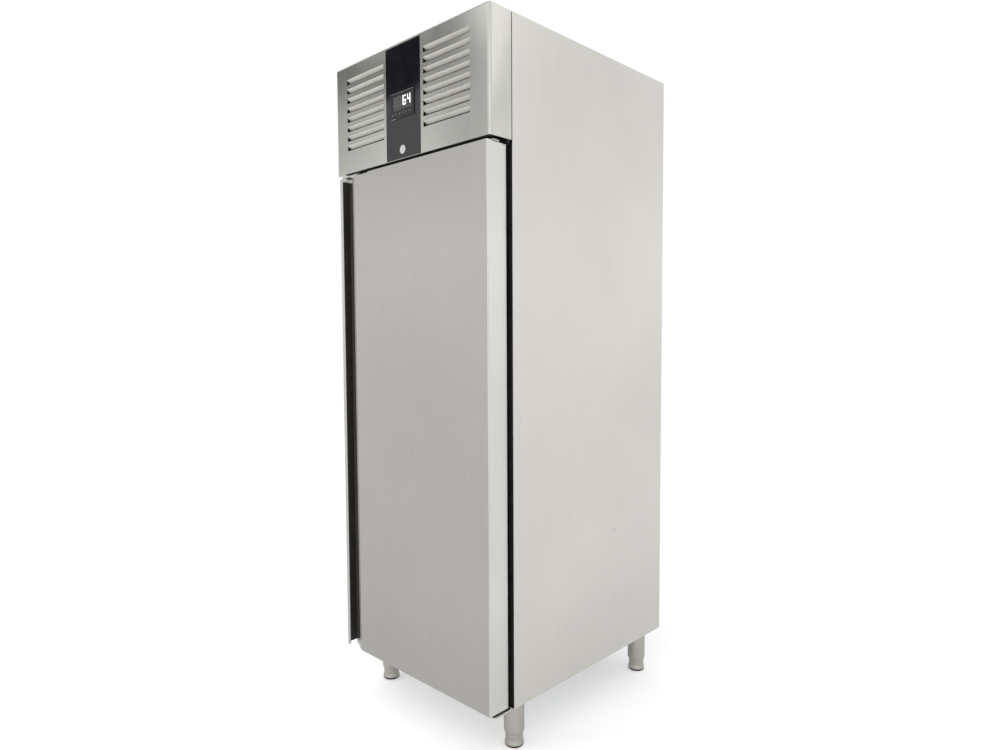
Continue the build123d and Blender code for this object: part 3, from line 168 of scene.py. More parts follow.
def steel(name, colour, rough=0.3, grain=(1, 1, 0.012), fine=420, streak=0.03, cloud=0.03, lift=0.02,
          metallic=1.0):
    """Stainless steel: fine grain along one direction, soft clouds, hand marks and small scuffs."""
    look = Look(name)
    brushed = look.noise(fine, 2, grain, 0.7)
    clouds = look.noise(2.3, 3, (1, 1, 1), 0.55)
    marks = look.noise(6, 6, (1, 1, 0.6), 0.68, 0.7)
    scuffs = look.noise(38, 2, (1, 1, 0.35), 0.5, 0.3)
    shade = look.joined(look.spread(brushed, 0.5 - streak, 0.5 + streak),
                        look.spread(clouds, -cloud, cloud), "ADD")
    shade = look.joined(shade, look.spread(scuffs, 0, -0.12, 0.72, 0.8), "ADD")
    look.colour(look.tint(shade, shaded(colour, 0.5), shaded(colour, 1.5)))
    look.shader.inputs["Metallic"].default_value = metallic
    look.roughness(look.joined(look.spread(brushed, rough * 0.97, rough * 1.03),
                               look.spread(marks, -0.01, 0.03), "ADD"))
    look.bump(brushed, lift)
    return look.material


def plastic(name, colour, rough=0.45, grain=900, lift=0.15, dust=0.12):
    """Moulded plastic or rubber with a fine grain and a little dust."""
    look = Look(name)
    dusty = look.noise(26, 4, (1, 1, 1), 0.6)
    pale = tuple(value + 0.003 for value in colour)
    look.colour(look.tint(look.spread(dusty, 0, 1), colour, shaded(pale, 1 + dust)))
    look.roughness(look.spread(dusty, rough * 0.9, min(1, rough * 1.12)))
    look.bump(look.noise(grain, 3), lift)
    return look.material


def painted(name, colour, rough=0.35, metallic=0.0, flake=300, lift=0.06):
    """A coated or plated metal surface with slight orange peel."""
    look = Look(name)
    mottle = look.noise(18, 4, (1, 1, 1), 0.6)
    look.colour(look.tint(look.spread(mottle, 0, 1), shaded(colour, 0.9), colour))
    look.shader.inputs["Metallic"].default_value = metallic
    look.roughness(look.spread(mottle, rough * 0.85, rough * 1.15))
    look.bump(look.noise(flake, 2), lift)
    return look.material


def spangled(name, colour):
    """Galvanised sheet: angular grains of slightly different grey."""
    look = Look(name)
    cells = look.nodes.new("ShaderNodeTexVoronoi")
    cells.inputs["Scale"].default_value = 95
    look.link(look.place, cells.inputs["Vector"])
    grains = look.nodes.new("ShaderNodeSeparateColor")
    look.link(cells.outputs["Color"], grains.inputs[0])
    look.colour(look.tint(grains.outputs[0], shaded(colour, 0.82), colour))
    look.shader.inputs["Metallic"].default_value = 1
    look.roughness(look.spread(grains.outputs[1], 0.32, 0.5, 0, 1))
    look.bump(look.noise(60, 3), 0.05)
    return look.material


def glowing(name, colour, strength):
    """A lit figure: a bright face with a slightly uneven glow."""
    look = Look(name)
    uneven = look.noise(120, 2)
    look.link(look.tint(look.spread(uneven, 0, 1), shaded(colour, 0.86), colour),
              look.shader.inputs["Emission Color"])
    look.shader.inputs["Emission Strength"].default_value = strength
    look.colour(look.tint(look.spread(uneven, 0, 1), shaded(colour, 0.9), colour))
    look.bump(uneven, 0.02)
    return look.material


ROLL_WIDTH = 13 * MM
ROLL_DEPTH = 10 * MM


def rolled_painted_highlight(name, dark, light):
    """The grip channel's moulding, its colour painted from dark to light towards the door's skin as the
    highlight on its rolled edge (painted highlight).
    """
    look = Look(name)
    axes = look.nodes.new("ShaderNodeSeparateXYZ")
    look.link(look.place, axes.inputs[0])
    # Painted highlight: the colour ramps from the dark to the light colour across the last part of the roll
    across = look.spread(axes.outputs["X"], 0, 1, door_low.x - ROLL_WIDTH * 0.75, door_low.x)
    dusty = look.spread(look.noise(26, 4, (1, 1, 0.2), 0.6), -0.06, 0.06)
    look.colour(look.tint(look.joined(across, dusty, "ADD"), dark, light))
    look.roughness(look.spread(look.noise(60, 3), 0.45, 0.55))
    look.bump(look.noise(900, 3), 0.15)
    return look.material


DEPTH_GRAIN = (1, 0.012, 1)
EVEN_GRAIN = (1, 1, 1)
looks = {
    "case_steel": steel("case_steel", srgb(216, 212, 207), 0.4),
    "fascia_steel": steel("fascia_steel", srgb(203, 202, 196), 0.165),
    "door_steel": steel("door_steel", srgb(189, 187, 183), 0.36),
    # The next three steels are paler copies of the door's steel: painted sheen on sides, hems and the lip's
    # front, and painted light on the louvres
    "pale_painted_sheen_steel": steel("pale_painted_sheen_steel", srgb(220, 217, 211), 0.3),
    "lip_painted_sheen_steel": steel("lip_painted_sheen_steel", srgb(206, 204, 201), 0.36),
    "louvre_painted_light_steel": steel("louvre_painted_light_steel", srgb(214, 212, 203), 0.5, metallic=0.1),
    "inner_steel": steel("inner_steel", srgb(208, 207, 204), 0.3, lift=0.04),
    "leg_steel": steel("leg_steel", srgb(186, 184, 176), 0.34, (1, 1, 30), 60, 0.06, 0.05, 0.06),
    "galvanised": spangled("galvanised", srgb(188, 192, 195)),
    "bracket_metal": steel("bracket_metal", srgb(198, 198, 193), 0.38, DEPTH_GRAIN),
    "pin_steel": steel("pin_steel", srgb(186, 186, 184), 0.3, EVEN_GRAIN, 300),
    "wire_coat": painted("wire_coat", srgb(212, 212, 210), 0.28, 0.0, 500, 0.05),
    "foam": plastic("foam", srgb(226, 214, 172), 0.85, 260, 0.5),
    "black_frame": plastic("black_frame", srgb(12, 12, 13), 0.55),
    "channel_black": plastic("channel_black", srgb(43, 40, 37), 0.6),
    "channel_edge": rolled_painted_highlight("channel_edge", srgb(46, 43, 40), srgb(150, 147, 140)),
    "cap_grey": plastic("cap_grey", srgb(250, 250, 246), 0.45),
    "cap_shade": plastic("cap_shade", srgb(160, 160, 155), 0.5),
    "painted_shade_foam": plastic("painted_shade_foam", srgb(10, 10, 11), 0.9, 500, 0.6),
    "grey_plastic": plastic("grey_plastic", srgb(96, 97, 99), 0.5),
    "nylon_black": plastic("nylon_black", srgb(13, 13, 14), 0.6),
    "gasket_rubber": plastic("gasket_rubber", srgb(14, 14, 15), 0.65),
    "mount_rubber": plastic("mount_rubber", srgb(20, 20, 21), 0.7),
    "fin_metal": steel("fin_metal", srgb(206, 208, 210), 0.35, EVEN_GRAIN, 200),
    "copper": steel("copper", srgb(214, 146, 112), 0.28, EVEN_GRAIN, 150, 0.08, 0.14),
    "black_enamel": painted("black_enamel", srgb(16, 16, 17), 0.22),
    "motor_metal": painted("motor_metal", srgb(92, 94, 96), 0.4, 0.6),
    "fan_plastic": plastic("fan_plastic", srgb(24, 24, 25), 0.42),
    "strip_black": plastic("strip_black", srgb(8, 9, 15), 0.05, 900, 0.005),
    "bezel_black": plastic("bezel_black", srgb(10, 10, 12), 0.16, 1200, 0.04),
    "window_grey": plastic("window_grey", srgb(58, 57, 56), 0.22, 900, 0.01),
    "ghost_grey": plastic("ghost_grey", srgb(84, 83, 81), 0.3, 900, 0.01),
    "mark_grey": plastic("mark_grey", srgb(132, 134, 137), 0.4, 900, 0.02),
    "lock_chrome": steel("lock_chrome", srgb(232, 232, 234), 0.14, EVEN_GRAIN, 400, 0.02, 0.03, 0.02),
    "lit_white": glowing("lit_white", srgb(236, 242, 248), 0.75),
}


# Finishes of the CAD nodes
def facing(node, slot, chosen):
    """Gives the faces of one node that the test chooses another finish than the rest."""
    mesh = nodes[node].data
    mesh.materials.append(looks[slot])
    for face in mesh.polygons:
        if chosen(face, mesh):
            face.material_index = len(mesh.materials) - 1


slot_of = {part["node"]: part["material_slot"] for part in frame["record"]["subparts"]}
for name, node in nodes.items():
    node.data.materials.clear()
    node.data.materials.append(looks[slot_of[name]])

PAD_TOP_Z = 6.1 * MM
for name in ("foot_front_left", "foot_front_right", "foot_rear_left", "foot_rear_right"):
    facing(name, "mount_rubber",
           lambda face, mesh: all(mesh.vertices[i].co.z < PAD_TOP_Z for i in face.vertices))

# The door's sides and the lip's front are painted paler than the door's front to give their sheen (painted
# sheen), and the pressed louvres take a duller, paler, nearly non-metallic steel that paints the light
# reflected onto them (painted light)
SIDEWAYS = 0.6
FORWARDS = -0.5
LOUVRE_TILT = 0.3
LOUVRE_REACH = 16 * MM
LOUVRE_LOW_Z = FASCIA_Z + 50 * MM
LOUVRE_HIGH_Z = fascia_high.z - 38 * MM
RAIL_END = 0.9
CAP_TILT = -0.3
CAP_LOW_Z = door_low.z + 20 * MM
CAP_FRONT_Y = FRONT_Y + 2 * MM
facing("door_outer_skin", "pale_painted_sheen_steel", lambda face, mesh: abs(face.normal.x) > SIDEWAYS)
facing("handle_lip", "lip_painted_sheen_steel", lambda face, mesh: face.normal.y < FORWARDS)
facing("fascia_panel", "louvre_painted_light_steel",
       lambda face, mesh: abs(face.normal.z) > LOUVRE_TILT and face.center.y < FRONT_Y + LOUVRE_REACH
       and LOUVRE_LOW_Z < face.center.z < LOUVRE_HIGH_Z)
# Painted shade: the top rail's end faces in the seams are black, for the shade there
facing("top_rail", "gasket_rubber", lambda face, mesh: abs(face.normal.x) > RAIL_END)
# Painted shade: the end caps' forward faces, low on the lower cap and along the front edges, take the darker
# cap_shade grey
facing("door_end_caps", "cap_shade",
       lambda face, mesh: face.normal.y < CAP_TILT
       and (face.center.z < CAP_LOW_Z or face.center.y < CAP_FRONT_Y))


# Small pieces
def prism(grid, outline, axis, start, end):
    """Adds a solid with a flat outline, drawn out along the axis of that number from start to end."""
    across = [a for a in range(3) if a != axis]
    rings = []
    for level in (start, end):
        ring = []
        for point in outline:
            place = [0.0, 0.0, 0.0]
            place[axis] = level
            place[across[0]], place[across[1]] = point
            ring.append(grid.verts.new(place))
        rings.append(ring)
    grid.faces.new(rings[0])
    grid.faces.new(reversed(rings[1]))
    for step in range(len(outline)):
        after = (step + 1) % len(outline)
        grid.faces.new((rings[0][step], rings[1][step], rings[1][after], rings[0][after]))


def placed(grid, name, body, slot, look=None):
    """The grid's faces as a piece on one body, with one finish."""
    bmesh.ops.recalc_face_normals(grid, faces=grid.faces)
    mesh = bpy.data.meshes.new(name)
    grid.to_mesh(mesh)
    grid.free()
    made = bpy.data.objects.new(name, mesh)
    scene.collection.objects.link(made)
    made.data.materials.append(looks[look or slot])
    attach(made, body)
    return made


def piece(name, body, slot, solids, look=None):
    """A piece of one or more prisms."""
    grid = bmesh.new()
    for solid in solids:
        prism(grid, *solid)
    return placed(grid, name, body, slot, look)


def softened(x0, x1, z0, z1, cut):
    """A rectangle with its corners cut."""
    return [(x0 + cut, z0), (x1 - cut, z0), (x1, z0 + cut), (x1, z1 - cut),
            (x1 - cut, z1), (x0 + cut, z1), (x0, z1 - cut), (x0, z0 + cut)]


def arc_band(x, z, radius, width, start, end, steps=20):
    """The outline of a part of a ring, between two angles in degrees."""
    angles = [math.radians(start + (end - start) * step / steps) for step in range(steps + 1)]
    within = radius - width
    outer = [(x + radius * math.cos(a), z + radius * math.sin(a)) for a in angles]
    inner = [(x + within * math.cos(a), z + within * math.sin(a)) for a in reversed(angles)]
    return outer + inner


def bar(x0, z0, x1, z1, width):
    """The outline of a straight bar between two points."""
    along = Vector((x1 - x0, z1 - z0)).normalized() * width / 2
    return [(x0 - along.y, z0 + along.x), (x0 + along.y, z0 - along.x),
            (x1 + along.y, z1 - along.x), (x1 - along.y, z1 + along.x)]


X_AXIS, Y_AXIS, Z_AXIS = 0, 1, 2

# Painted shade: black foam strips put in the gaps to give their shade, under the fascia's foot, behind its
# side edges, and across the top of the door's opening.
# The foot strip stops short of a folded tab at the left, and the head strip is notched round the hinge's arm
SHADE_STRIP_HALF = fascia_high.x - 3 * MM
SHADE_STRIP_REAR_Y = FRONT_Y + 18 * MM
SHADE_STRIP_BOTTOM_Z = DOOR_TOP_Z + 1.5 * MM
SHADE_STRIP_TOP_Z = FASCIA_Z + 32 * MM
TAB_WIDTH = 38 * MM
ARM_X0 = bracket_low.x - 2 * MM
ARM_X1 = bracket_low.x + 26 * MM
ARM_TOP_Z = DOOR_TOP_Z + 7.6 * MM


def foot_painted_shade():
    section = softened(FRONT_Y + 2 * MM, SHADE_STRIP_REAR_Y, FASCIA_Z - 1.2 * MM, FASCIA_Z, 0.4 * MM)
    piece("fascia_foot_painted_shade", "fascia", "gasket_rubber",
          [(section, X_AXIS, -SHADE_STRIP_HALF + TAB_WIDTH, SHADE_STRIP_HALF)])


def foot_tab():
    """The fascia's folded tab under its left foot, which the foot's painted-shade strip leaves bare."""
    low = FASCIA_Z + 0.1 * MM
    section = softened(FRONT_Y + 1.5 * MM, SHADE_STRIP_REAR_Y, low, low + MM, 0.2 * MM)
    piece("fascia_foot_tab", "fascia", "fascia_steel",
          [(section, X_AXIS, -SHADE_STRIP_HALF - MM, -SHADE_STRIP_HALF + TAB_WIDTH)])


def edge_painted_shades():
    y0, y1, y2 = fascia_high.y - 8 * MM, fascia_high.y + 0.15 * MM, CASE_Y - 0.3 * MM
    x0, x1, x2 = (fascia_high.x - inset * MM for inset in (6, 1.05, 0.4))
    for side, name in ((1, "right"), (-1, "left")):
        section = [(side * x, y) for x, y in ((x0, y0), (x1, y0), (x1, y1), (x2, y1), (x2, y2), (x0, y2))]
        piece(f"fascia_edge_painted_shade_{name}", "fascia", "gasket_rubber",
              [(section, Z_AXIS, FASCIA_Z + 1.5 * MM, rail_low.z - 1.5 * MM)])


def head_painted_shade():
    front, middle, rear = (CASE_Y - depth * MM for depth in (15.5, 8.6, 0.2))
    notched = [(-SHADE_STRIP_HALF, SHADE_STRIP_BOTTOM_Z), (ARM_X0, SHADE_STRIP_BOTTOM_Z), (ARM_X0, ARM_TOP_Z), (ARM_X1, ARM_TOP_Z),
               (ARM_X1, SHADE_STRIP_BOTTOM_Z), (SHADE_STRIP_HALF, SHADE_STRIP_BOTTOM_Z), (SHADE_STRIP_HALF, SHADE_STRIP_TOP_Z),
               (-SHADE_STRIP_HALF, SHADE_STRIP_TOP_Z)]
    behind = softened(-SHADE_STRIP_HALF, ARM_X0 - 2 * MM, SHADE_STRIP_BOTTOM_Z + MM, SHADE_STRIP_TOP_Z - MM, MM)
    piece("door_head_painted_shade", "cabinet", "gasket_rubber",
          [(notched, Y_AXIS, front, middle), (behind, Y_AXIS, middle, rear)])


foot_painted_shade()
foot_tab()
edge_painted_shades()
head_painted_shade()


SHADE_PADS = (("left", -310, -82), ("right", 58, 298))
CHANNEL_ROLL_INSET = 23 * MM
CAP_X0 = channel_low.x + 0.5 * MM
CAP_X1 = door_low.x + 20 * MM
CAP_FOOT_Z = DOOR_TOP_Z - 0.1 * MM
RIM_TOP_Z = DOOR_TOP_Z + 4.6 * MM
PEG_TOP_Z = DOOR_TOP_Z + 8.4 * MM
WELL_RADIUS = 13.8 * MM
WELL_STEPS = 20
WELL_START, WELL_SWEEP = 201.5, -223
TRIM_TOP_Z = DOOR_TOP_Z + 2.6 * MM
TRIM_WIDTH = 3 * MM
TRIM_START_X = CAP_X1 + 55 * MM
TRIM_CORNER = 6 * MM
TRIM_STEPS = 6


def louvre_shade_pads():
    """A black foam pad behind each bank of louvres, which gives the shade seen through the slots (painted
    shade).
    """
    for name, x0, x1 in SHADE_PADS:
        outline = softened(x0 * MM, x1 * MM, LOUVRE_LOW_Z - 6 * MM, LOUVRE_HIGH_Z + 8 * MM, 3 * MM)
        piece(f"louvre_shade_pad_{name}", "fascia", "gasket_rubber",
              [(outline, Y_AXIS, FRONT_Y + 15 * MM, FRONT_Y + 22 * MM)], "painted_shade_foam")


def channel_edge():
    """The grip channel's rolled edge along the door's skin, which carries a painted highlight."""
    steps = 12
    x, y = door_low.x - 0.1 * MM, FRONT_Y + 0.8 * MM
    quarter = [math.radians(90 * step / steps) for step in range(steps + 1)]
    section = [(x - ROLL_WIDTH * math.sin(a), y + ROLL_DEPTH * (1 - math.cos(a))) for a in quarter]
    section.append((x, y + ROLL_DEPTH))
    made = piece("channel_edge", "door", "channel_black",
                 [(section, Z_AXIS, channel_low.z + CHANNEL_ROLL_INSET, channel_high.z)], "channel_edge")
    for face in made.data.polygons:
        face.use_smooth = abs(face.normal.z) < 0.5


def cap_rim():
    """The upper end cap's raised front edge in the darker grey of painted shade, a black well in its hole that
    paints the shade there (painted shade), and a peg beside it.
    """
    rim = softened(CAP_X0, CAP_X1, FRONT_Y + 0.2 * MM, FRONT_Y + 2.2 * MM, 0.5 * MM)
    peg = softened(CAP_X1 + MM, CAP_X1 + 6 * MM, FRONT_Y + 1.5 * MM, FRONT_Y + 6 * MM, 1.2 * MM)
    piece("handle_cap_rim", "door", "cap_grey", [(rim, Z_AXIS, CAP_FOOT_Z, RIM_TOP_Z)], "cap_shade")
    x, y = door_low.x - 29 * MM, FRONT_Y + 6 * MM
    turns = [math.radians(WELL_START + WELL_SWEEP * step / WELL_STEPS) for step in range(WELL_STEPS + 1)]
    well = [(x + WELL_RADIUS * math.cos(a), y + WELL_RADIUS * math.sin(a)) for a in turns]
    piece("handle_cap_painted_shade_well", "door", "cap_grey",
          [(well, Z_AXIS, DOOR_TOP_Z - 2.7 * MM, DOOR_TOP_Z - 0.3 * MM)], "nylon_black")
    piece("handle_cap_peg", "door", "cap_grey", [(peg, Z_AXIS, CAP_FOOT_Z, PEG_TOP_Z)], "grey_plastic")


def top_hem():
    """The fascia's folded top edge, in the paler steel so that it shows as a bright line (painted highlight).
    """
    z0, z1 = fascia_high.z - 2.2 * MM, fascia_high.z - 0.2 * MM
    section = [(FRONT_Y + 0.1 * MM, z0), (FRONT_Y + 0.1 * MM, z1), (FRONT_Y - 0.3 * MM, z1),
               (FRONT_Y - 1.4 * MM, z0 + 0.4 * MM), (FRONT_Y - 1.4 * MM, z0)]
    piece("fascia_top_hem", "fascia", "fascia_steel",
          [(section, X_AXIS, fascia_low.x + 8 * MM, fascia_high.x - 8 * MM)], "pale_painted_sheen_steel")


def door_top_trim():
    """A thin raised edge along the door's top, round its right corner as far as the hinge arm; its sideways
    faces take the paler steel of painted sheen.
    """
    outside, inside = TRIM_CORNER, TRIM_CORNER - TRIM_WIDTH
    x, y = door_high.x - 0.1 * MM - outside, FRONT_Y + 0.1 * MM + outside
    turns = [math.radians(90 * step / TRIM_STEPS) for step in range(TRIM_STEPS + 1)]
    outer = [(x + outside * math.sin(a), y - outside * math.cos(a)) for a in turns]
    inner = [(x + inside * math.sin(a), y - inside * math.cos(a)) for a in reversed(turns)]
    end_y = bracket_low.y - 2 * MM
    outline = ([(TRIM_START_X, y - outside)] + outer + [(x + outside, end_y), (x + inside, end_y)]
               + inner + [(TRIM_START_X, y - inside)])
    made = piece("door_top_trim", "door", "door_steel", [(outline, Z_AXIS, CAP_FOOT_Z, TRIM_TOP_Z)])
    # Painted sheen: the trim's sideways faces take the paler steel
    made.data.materials.append(looks["pale_painted_sheen_steel"])
    for face in made.data.polygons:
        face.material_index = int(abs(face.normal.x) > SIDEWAYS)


louvre_shade_pads()
channel_edge()
cap_rim()
door_top_trim()
top_hem()

# Gasket: a bellows of black rubber, drawn round the door's edge with mitred corners
GASKET_WIDTH = 20 * MM
BELLOWS = [(0, 0), (0, 0.2), (0.26, 0.28), (0.16, 0.42), (0.32, 0.56), (0.08, 0.66), (0.04, 0.9), (0.12, 1),
           (0.88, 1), (0.96, 0.9), (0.92, 0.66), (0.68, 0.56), (0.84, 0.42), (0.74, 0.28), (1, 0.2), (1, 0)]


def gasket():
    grid = bmesh.new()
    depth = gasket_high.y - gasket_low.y
    rings = []
    for right, top in ((0, 0), (1, 0), (1, 1), (0, 1)):
        ring = []
        for across, back in BELLOWS:
            inward = across * GASKET_WIDTH
            x = gasket_high.x - inward if right else gasket_low.x + inward
            z = gasket_high.z - inward if top else gasket_low.z + inward
            ring.append(grid.verts.new((x, gasket_low.y + back * depth, z)))
        rings.append(ring)
    for corner in range(4):
        here, there = rings[corner], rings[(corner + 1) % 4]
        for step in range(len(BELLOWS)):
            after = (step + 1) % len(BELLOWS)
            grid.faces.new((here[step], there[step], there[after], here[after]))
    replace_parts(placed(grid, "gasket_bellows", "door", "gasket_rubber"), "door_gasket")


gasket()

# Controller: chrome beads along the bezel's top edge and at its lower left that stand for the highlights on
# those edges (painted highlight), unlit figures in the window, and a row of touch marks
BEZEL_Y = bezel_low.y
MARK_RISE = 0.15 * MM
MARK_SINK = 0.03 * MM
MARK_Z = bezel_low.z + 13.5 * MM
MARK_SIZE = 2.3 * MM
MARK_STROKE = 0.75 * MM
FIGURE_PITCH = 20.5 * MM
FIGURE_WIDTH = 14 * MM
FIGURE_STROKE = 3.4 * MM
FIGURE_GAP = 0.6 * MM
FIGURE_RISE = 0.12 * MM
MARK_SHARES = (0.09, 0.235, 0.38, 0.52, 0.665, 0.82)


def on_bezel(outline):
    return outline, Y_AXIS, BEZEL_Y - MARK_RISE, BEZEL_Y + MARK_SINK


def bezel_painted_highlights():
    # Painted highlight: chrome strips where the bezel's edges catch the light
    inset = 2.5 * MM
    edge_z, foot_z = bezel_high.z - 0.7 * MM, bezel_low.z + 0.7 * MM
    top = bar(bezel_low.x + inset, edge_z, bezel_high.x - inset, edge_z, 0.9 * MM)
    foot = bar(bezel_low.x + inset, foot_z, bezel_low.x + 24 * MM, foot_z, 0.7 * MM)
    piece("bezel_painted_highlights", "fascia", "lock_chrome", [on_bezel(top), on_bezel(foot)])


def unlit_figures():
    """All seven bars of the two figures that aren't lit, left of the lit ones."""
    z0, z1 = figures_low.z, figures_high.z
    middle = (z0 + z1) / 2
    half = FIGURE_STROKE / 2
    solids = []
    for place in (1, 2):
        x0 = figures_low.x - place * FIGURE_PITCH
        x1 = x0 + FIGURE_WIDTH
        bars = [(x0 + half, level, x1 - half, level) for level in (z0 + half, middle, z1 - half)]
        for x in (x0 + half, x1 - half):
            bars += [(x, z0 + half + FIGURE_GAP, x, middle - half),
                     (x, middle + half, x, z1 - half - FIGURE_GAP)]
        solids += [(bar(*ends, FIGURE_STROKE * 0.8), Y_AXIS, window_low.y - FIGURE_RISE,
                    window_low.y + MARK_SINK) for ends in bars]
    piece("unlit_figures", "fascia", "window_grey", solids, "ghost_grey")


def touch_marks():
    """Six plain marks: three lines, a ring, two arrows, a star and an open ring with a bar."""
    size, stroke = MARK_SIZE, MARK_STROKE
    spots = [bezel_low.x + share * (bezel_high.x - bezel_low.x) for share in MARK_SHARES]
    solids = []
    for level in (-0.8, 0, 0.8):
        height = MARK_Z + level * size
        solids.append(on_bezel(bar(spots[0] - size, height, spots[0] + size, height, stroke)))
    solids.append(on_bezel(arc_band(spots[1], MARK_Z, size * 1.1, stroke, 0, 359)))
    for spot, turn in ((spots[2], 1), (spots[3], -1)):
        base_z = MARK_Z - turn * size * 0.7
        solids.append(on_bezel([(spot - size, base_z), (spot + size, base_z), (spot, MARK_Z + turn * size)]))
    for angle in (0, 60, 120):
        reach = Vector((math.cos(math.radians(angle)), math.sin(math.radians(angle)))) * size * 1.15
        solids.append(on_bezel(bar(spots[4] - reach.x, MARK_Z - reach.y, spots[4] + reach.x, MARK_Z + reach.y,
                                   stroke * 0.8)))
    solids.append(on_bezel(arc_band(spots[5], MARK_Z, size * 1.1, stroke, 125, 415)))
    solids.append(on_bezel(bar(spots[5], MARK_Z + size * 0.2, spots[5], MARK_Z + size * 1.3, stroke)))
    piece("touch_marks", "fascia", "bezel_black", solids, "mark_grey")


bezel_painted_highlights()
unlit_figures()
touch_marks()

# Floor, backdrop and light
SEEN = ("Is Camera Ray", "Is Glossy Ray", "Is Transmission Ray")
FLOOR_SIZE = 60
FLOOR_GREY = 0.8
FLOOR_LIFT = 0.4
FLOOR_SHEEN_LIFT = 0.16
WORLD_LIGHT = 0.78


def new_tree(owner):
    owner.use_nodes = True
    tree = owner.node_tree
    tree.nodes.clear()
    return tree


def seen_by(tree, *kinds):
    """One where the ray is of any of these kinds, and nought elsewhere."""
    path = tree.nodes.new("ShaderNodeLightPath")
    total = path.outputs[kinds[0]]
    for kind in kinds[1:]:
        either = tree.nodes.new("ShaderNodeMath")
        either.operation = "MAXIMUM"
        tree.links.new(total, either.inputs[0])
        tree.links.new(path.outputs[kind], either.inputs[1])
        total = either.outputs[0]
    return total


def glow(tree, kind, strength):
    """A glow of one strength for one kind of ray."""
    node = tree.nodes.new("ShaderNodeEmission")
    scaled = tree.nodes.new("ShaderNodeMath")
    scaled.operation = "MULTIPLY"
    scaled.inputs[1].default_value = strength
    tree.links.new(seen_by(tree, kind), scaled.inputs[0])
    tree.links.new(scaled.outputs[0], node.inputs["Strength"])
    return node.outputs[0]


def summed(tree, first, second):
    node = tree.nodes.new("ShaderNodeAddShader")
    tree.links.new(first, node.inputs[0])
    tree.links.new(second, node.inputs[1])
    return node.outputs[0]


def shown(tree, kind, surface):
    """Leads a surface or background to the tree's output."""
    out = tree.nodes.new(kind)
    tree.links.new(surface, out.inputs["Surface"])


def stage_mesh(name, points, faces):
    """A mesh of the studio, and its material's empty tree."""
    mesh = bpy.data.meshes.new(name)
    mesh.from_pydata(points, [], faces)
    made = bpy.data.objects.new(name, mesh)
    scene.collection.objects.link(made)
    material = bpy.data.materials.new(name)
    mesh.materials.append(material)
    return made, new_tree(material)


def flat_mesh(name, across, deep, height):
    corners = [(across[0], deep[0]), (across[1], deep[0]), (across[1], deep[1]), (across[0], deep[1])]
    return stage_mesh(name, [(x, y, height) for x, y in corners], [(0, 1, 2, 3)])


def make_floor():
    span = (-FLOOR_SIZE / 2, FLOOR_SIZE / 2)
    floor, tree = flat_mesh("floor", span, span, 0)
    floor.location.z = -0.5 * MM
    matt = tree.nodes.new("ShaderNodeBsdfDiffuse")
    matt.inputs["Color"].default_value = (FLOOR_GREY, FLOOR_GREY, FLOOR_GREY, 1)
    lifted = summed(tree, matt.outputs[0], glow(tree, "Is Camera Ray", FLOOR_LIFT))
    lifted = summed(tree, lifted, glow(tree, "Is Glossy Ray", FLOOR_SHEEN_LIFT))
    shown(tree, "ShaderNodeOutputMaterial", lifted)


def make_world():
    world = bpy.data.worlds.new("world")
    scene.world = world
    tree = new_tree(world)
    levels = []
    for strength in (WORLD_LIGHT, 1):
        background = tree.nodes.new("ShaderNodeBackground")
        background.inputs["Color"].default_value = (1, 1, 1, 1)
        background.inputs["Strength"].default_value = strength
        levels.append(background.outputs[0])
    mix = tree.nodes.new("ShaderNodeMixShader")
    tree.links.new(seen_by(tree, *SEEN), mix.inputs[0])
    tree.links.new(levels[0], mix.inputs[1])
    tree.links.new(levels[1], mix.inputs[2])
    shown(tree, "ShaderNodeOutputWorld", mix.outputs[0])


def reflected(made):
    """Leaves the thing to reflections alone."""
    made.visible_camera = False
    made.visible_diffuse = False
    made.visible_shadow = False
    made.visible_transmission = False


# Studio in front of the fascia: a lit wall, a dark beam above it, and the ceiling. At each turn: the rise of
# the beam's foot, its depth in degrees, and how bright the wall and the ceiling are
ROOM = ((209, 18.0, 4.0, 0.4, 0.45), (213.5, 18.0, 4.0, 0.58, 0.73), (216, 18.0, 2.5, 0.83, 1.15),
        (217.2, 18.0, 4.6, 0.95, 0.67), (219.6, 18.55, 4.5, 1.1, 0.2), (221.5, 21.0, 5.2, 0.92, 0.2),
        (223, 20.75, 5.2, 0.32, 0.37), (224.5, 21.4, 4.2, 0.3, 0.78), (226, 21.4, 0.9, 0.68, 1.54),
        (230, 21.4, 0.1, 0.93, 2.1))
BEAM_LEVEL = 0.08
WALL_FOOT = (10, 12)
HORIZON_LEVEL = 1.12
SCREEN_STEP = 0.5
CORNER_LEVEL = 1.5
CARD_HEIGHT = 2 * MM


def ramp(value, start, end):
    """Rises from nought at the start to one at the end."""
    return min(1, max(0, (value - start) / (end - start)))


def room_level(turn, rise):
    """How bright the studio is, at a compass turn and a rise above the horizon in degrees."""
    turn = min(max(turn, ROOM[0][0]), ROOM[-1][0])
    after = next(row for row in ROOM[1:] if turn <= row[0])
    before = ROOM[ROOM.index(after) - 1]
    share = (turn - before[0]) / (after[0] - before[0])
    foot, depth, wall, ceiling = (a + (b - a) * share for a, b in zip(before[1:], after[1:]))
    if rise < foot:
        return HORIZON_LEVEL + (wall - HORIZON_LEVEL) * ramp(rise, *WALL_FOOT)
    return BEAM_LEVEL if rise < foot + depth else ceiling


def near_side_level(turn, rise):
    """A softbox close to the fascia's right side, whose lower edge runs at a slant."""
    corner_turn, corner_edge, slant, softness = 46.6, 13, 3, 5
    edge = corner_edge + slant * (turn - corner_turn)
    below = 1.02 - 0.13 * ramp(rise, 0, 8)
    return below + (1.3 - below) * ramp(rise, edge - softness, edge + softness)


def far_side_level(turn, rise):
    """The lit wall to the right: bright near the horizon, duller above it, and a little brighter higher up."""
    return 1.16 - 0.26 * ramp(rise, 8, 13) + 0.1 * ramp(rise, 19, 23)


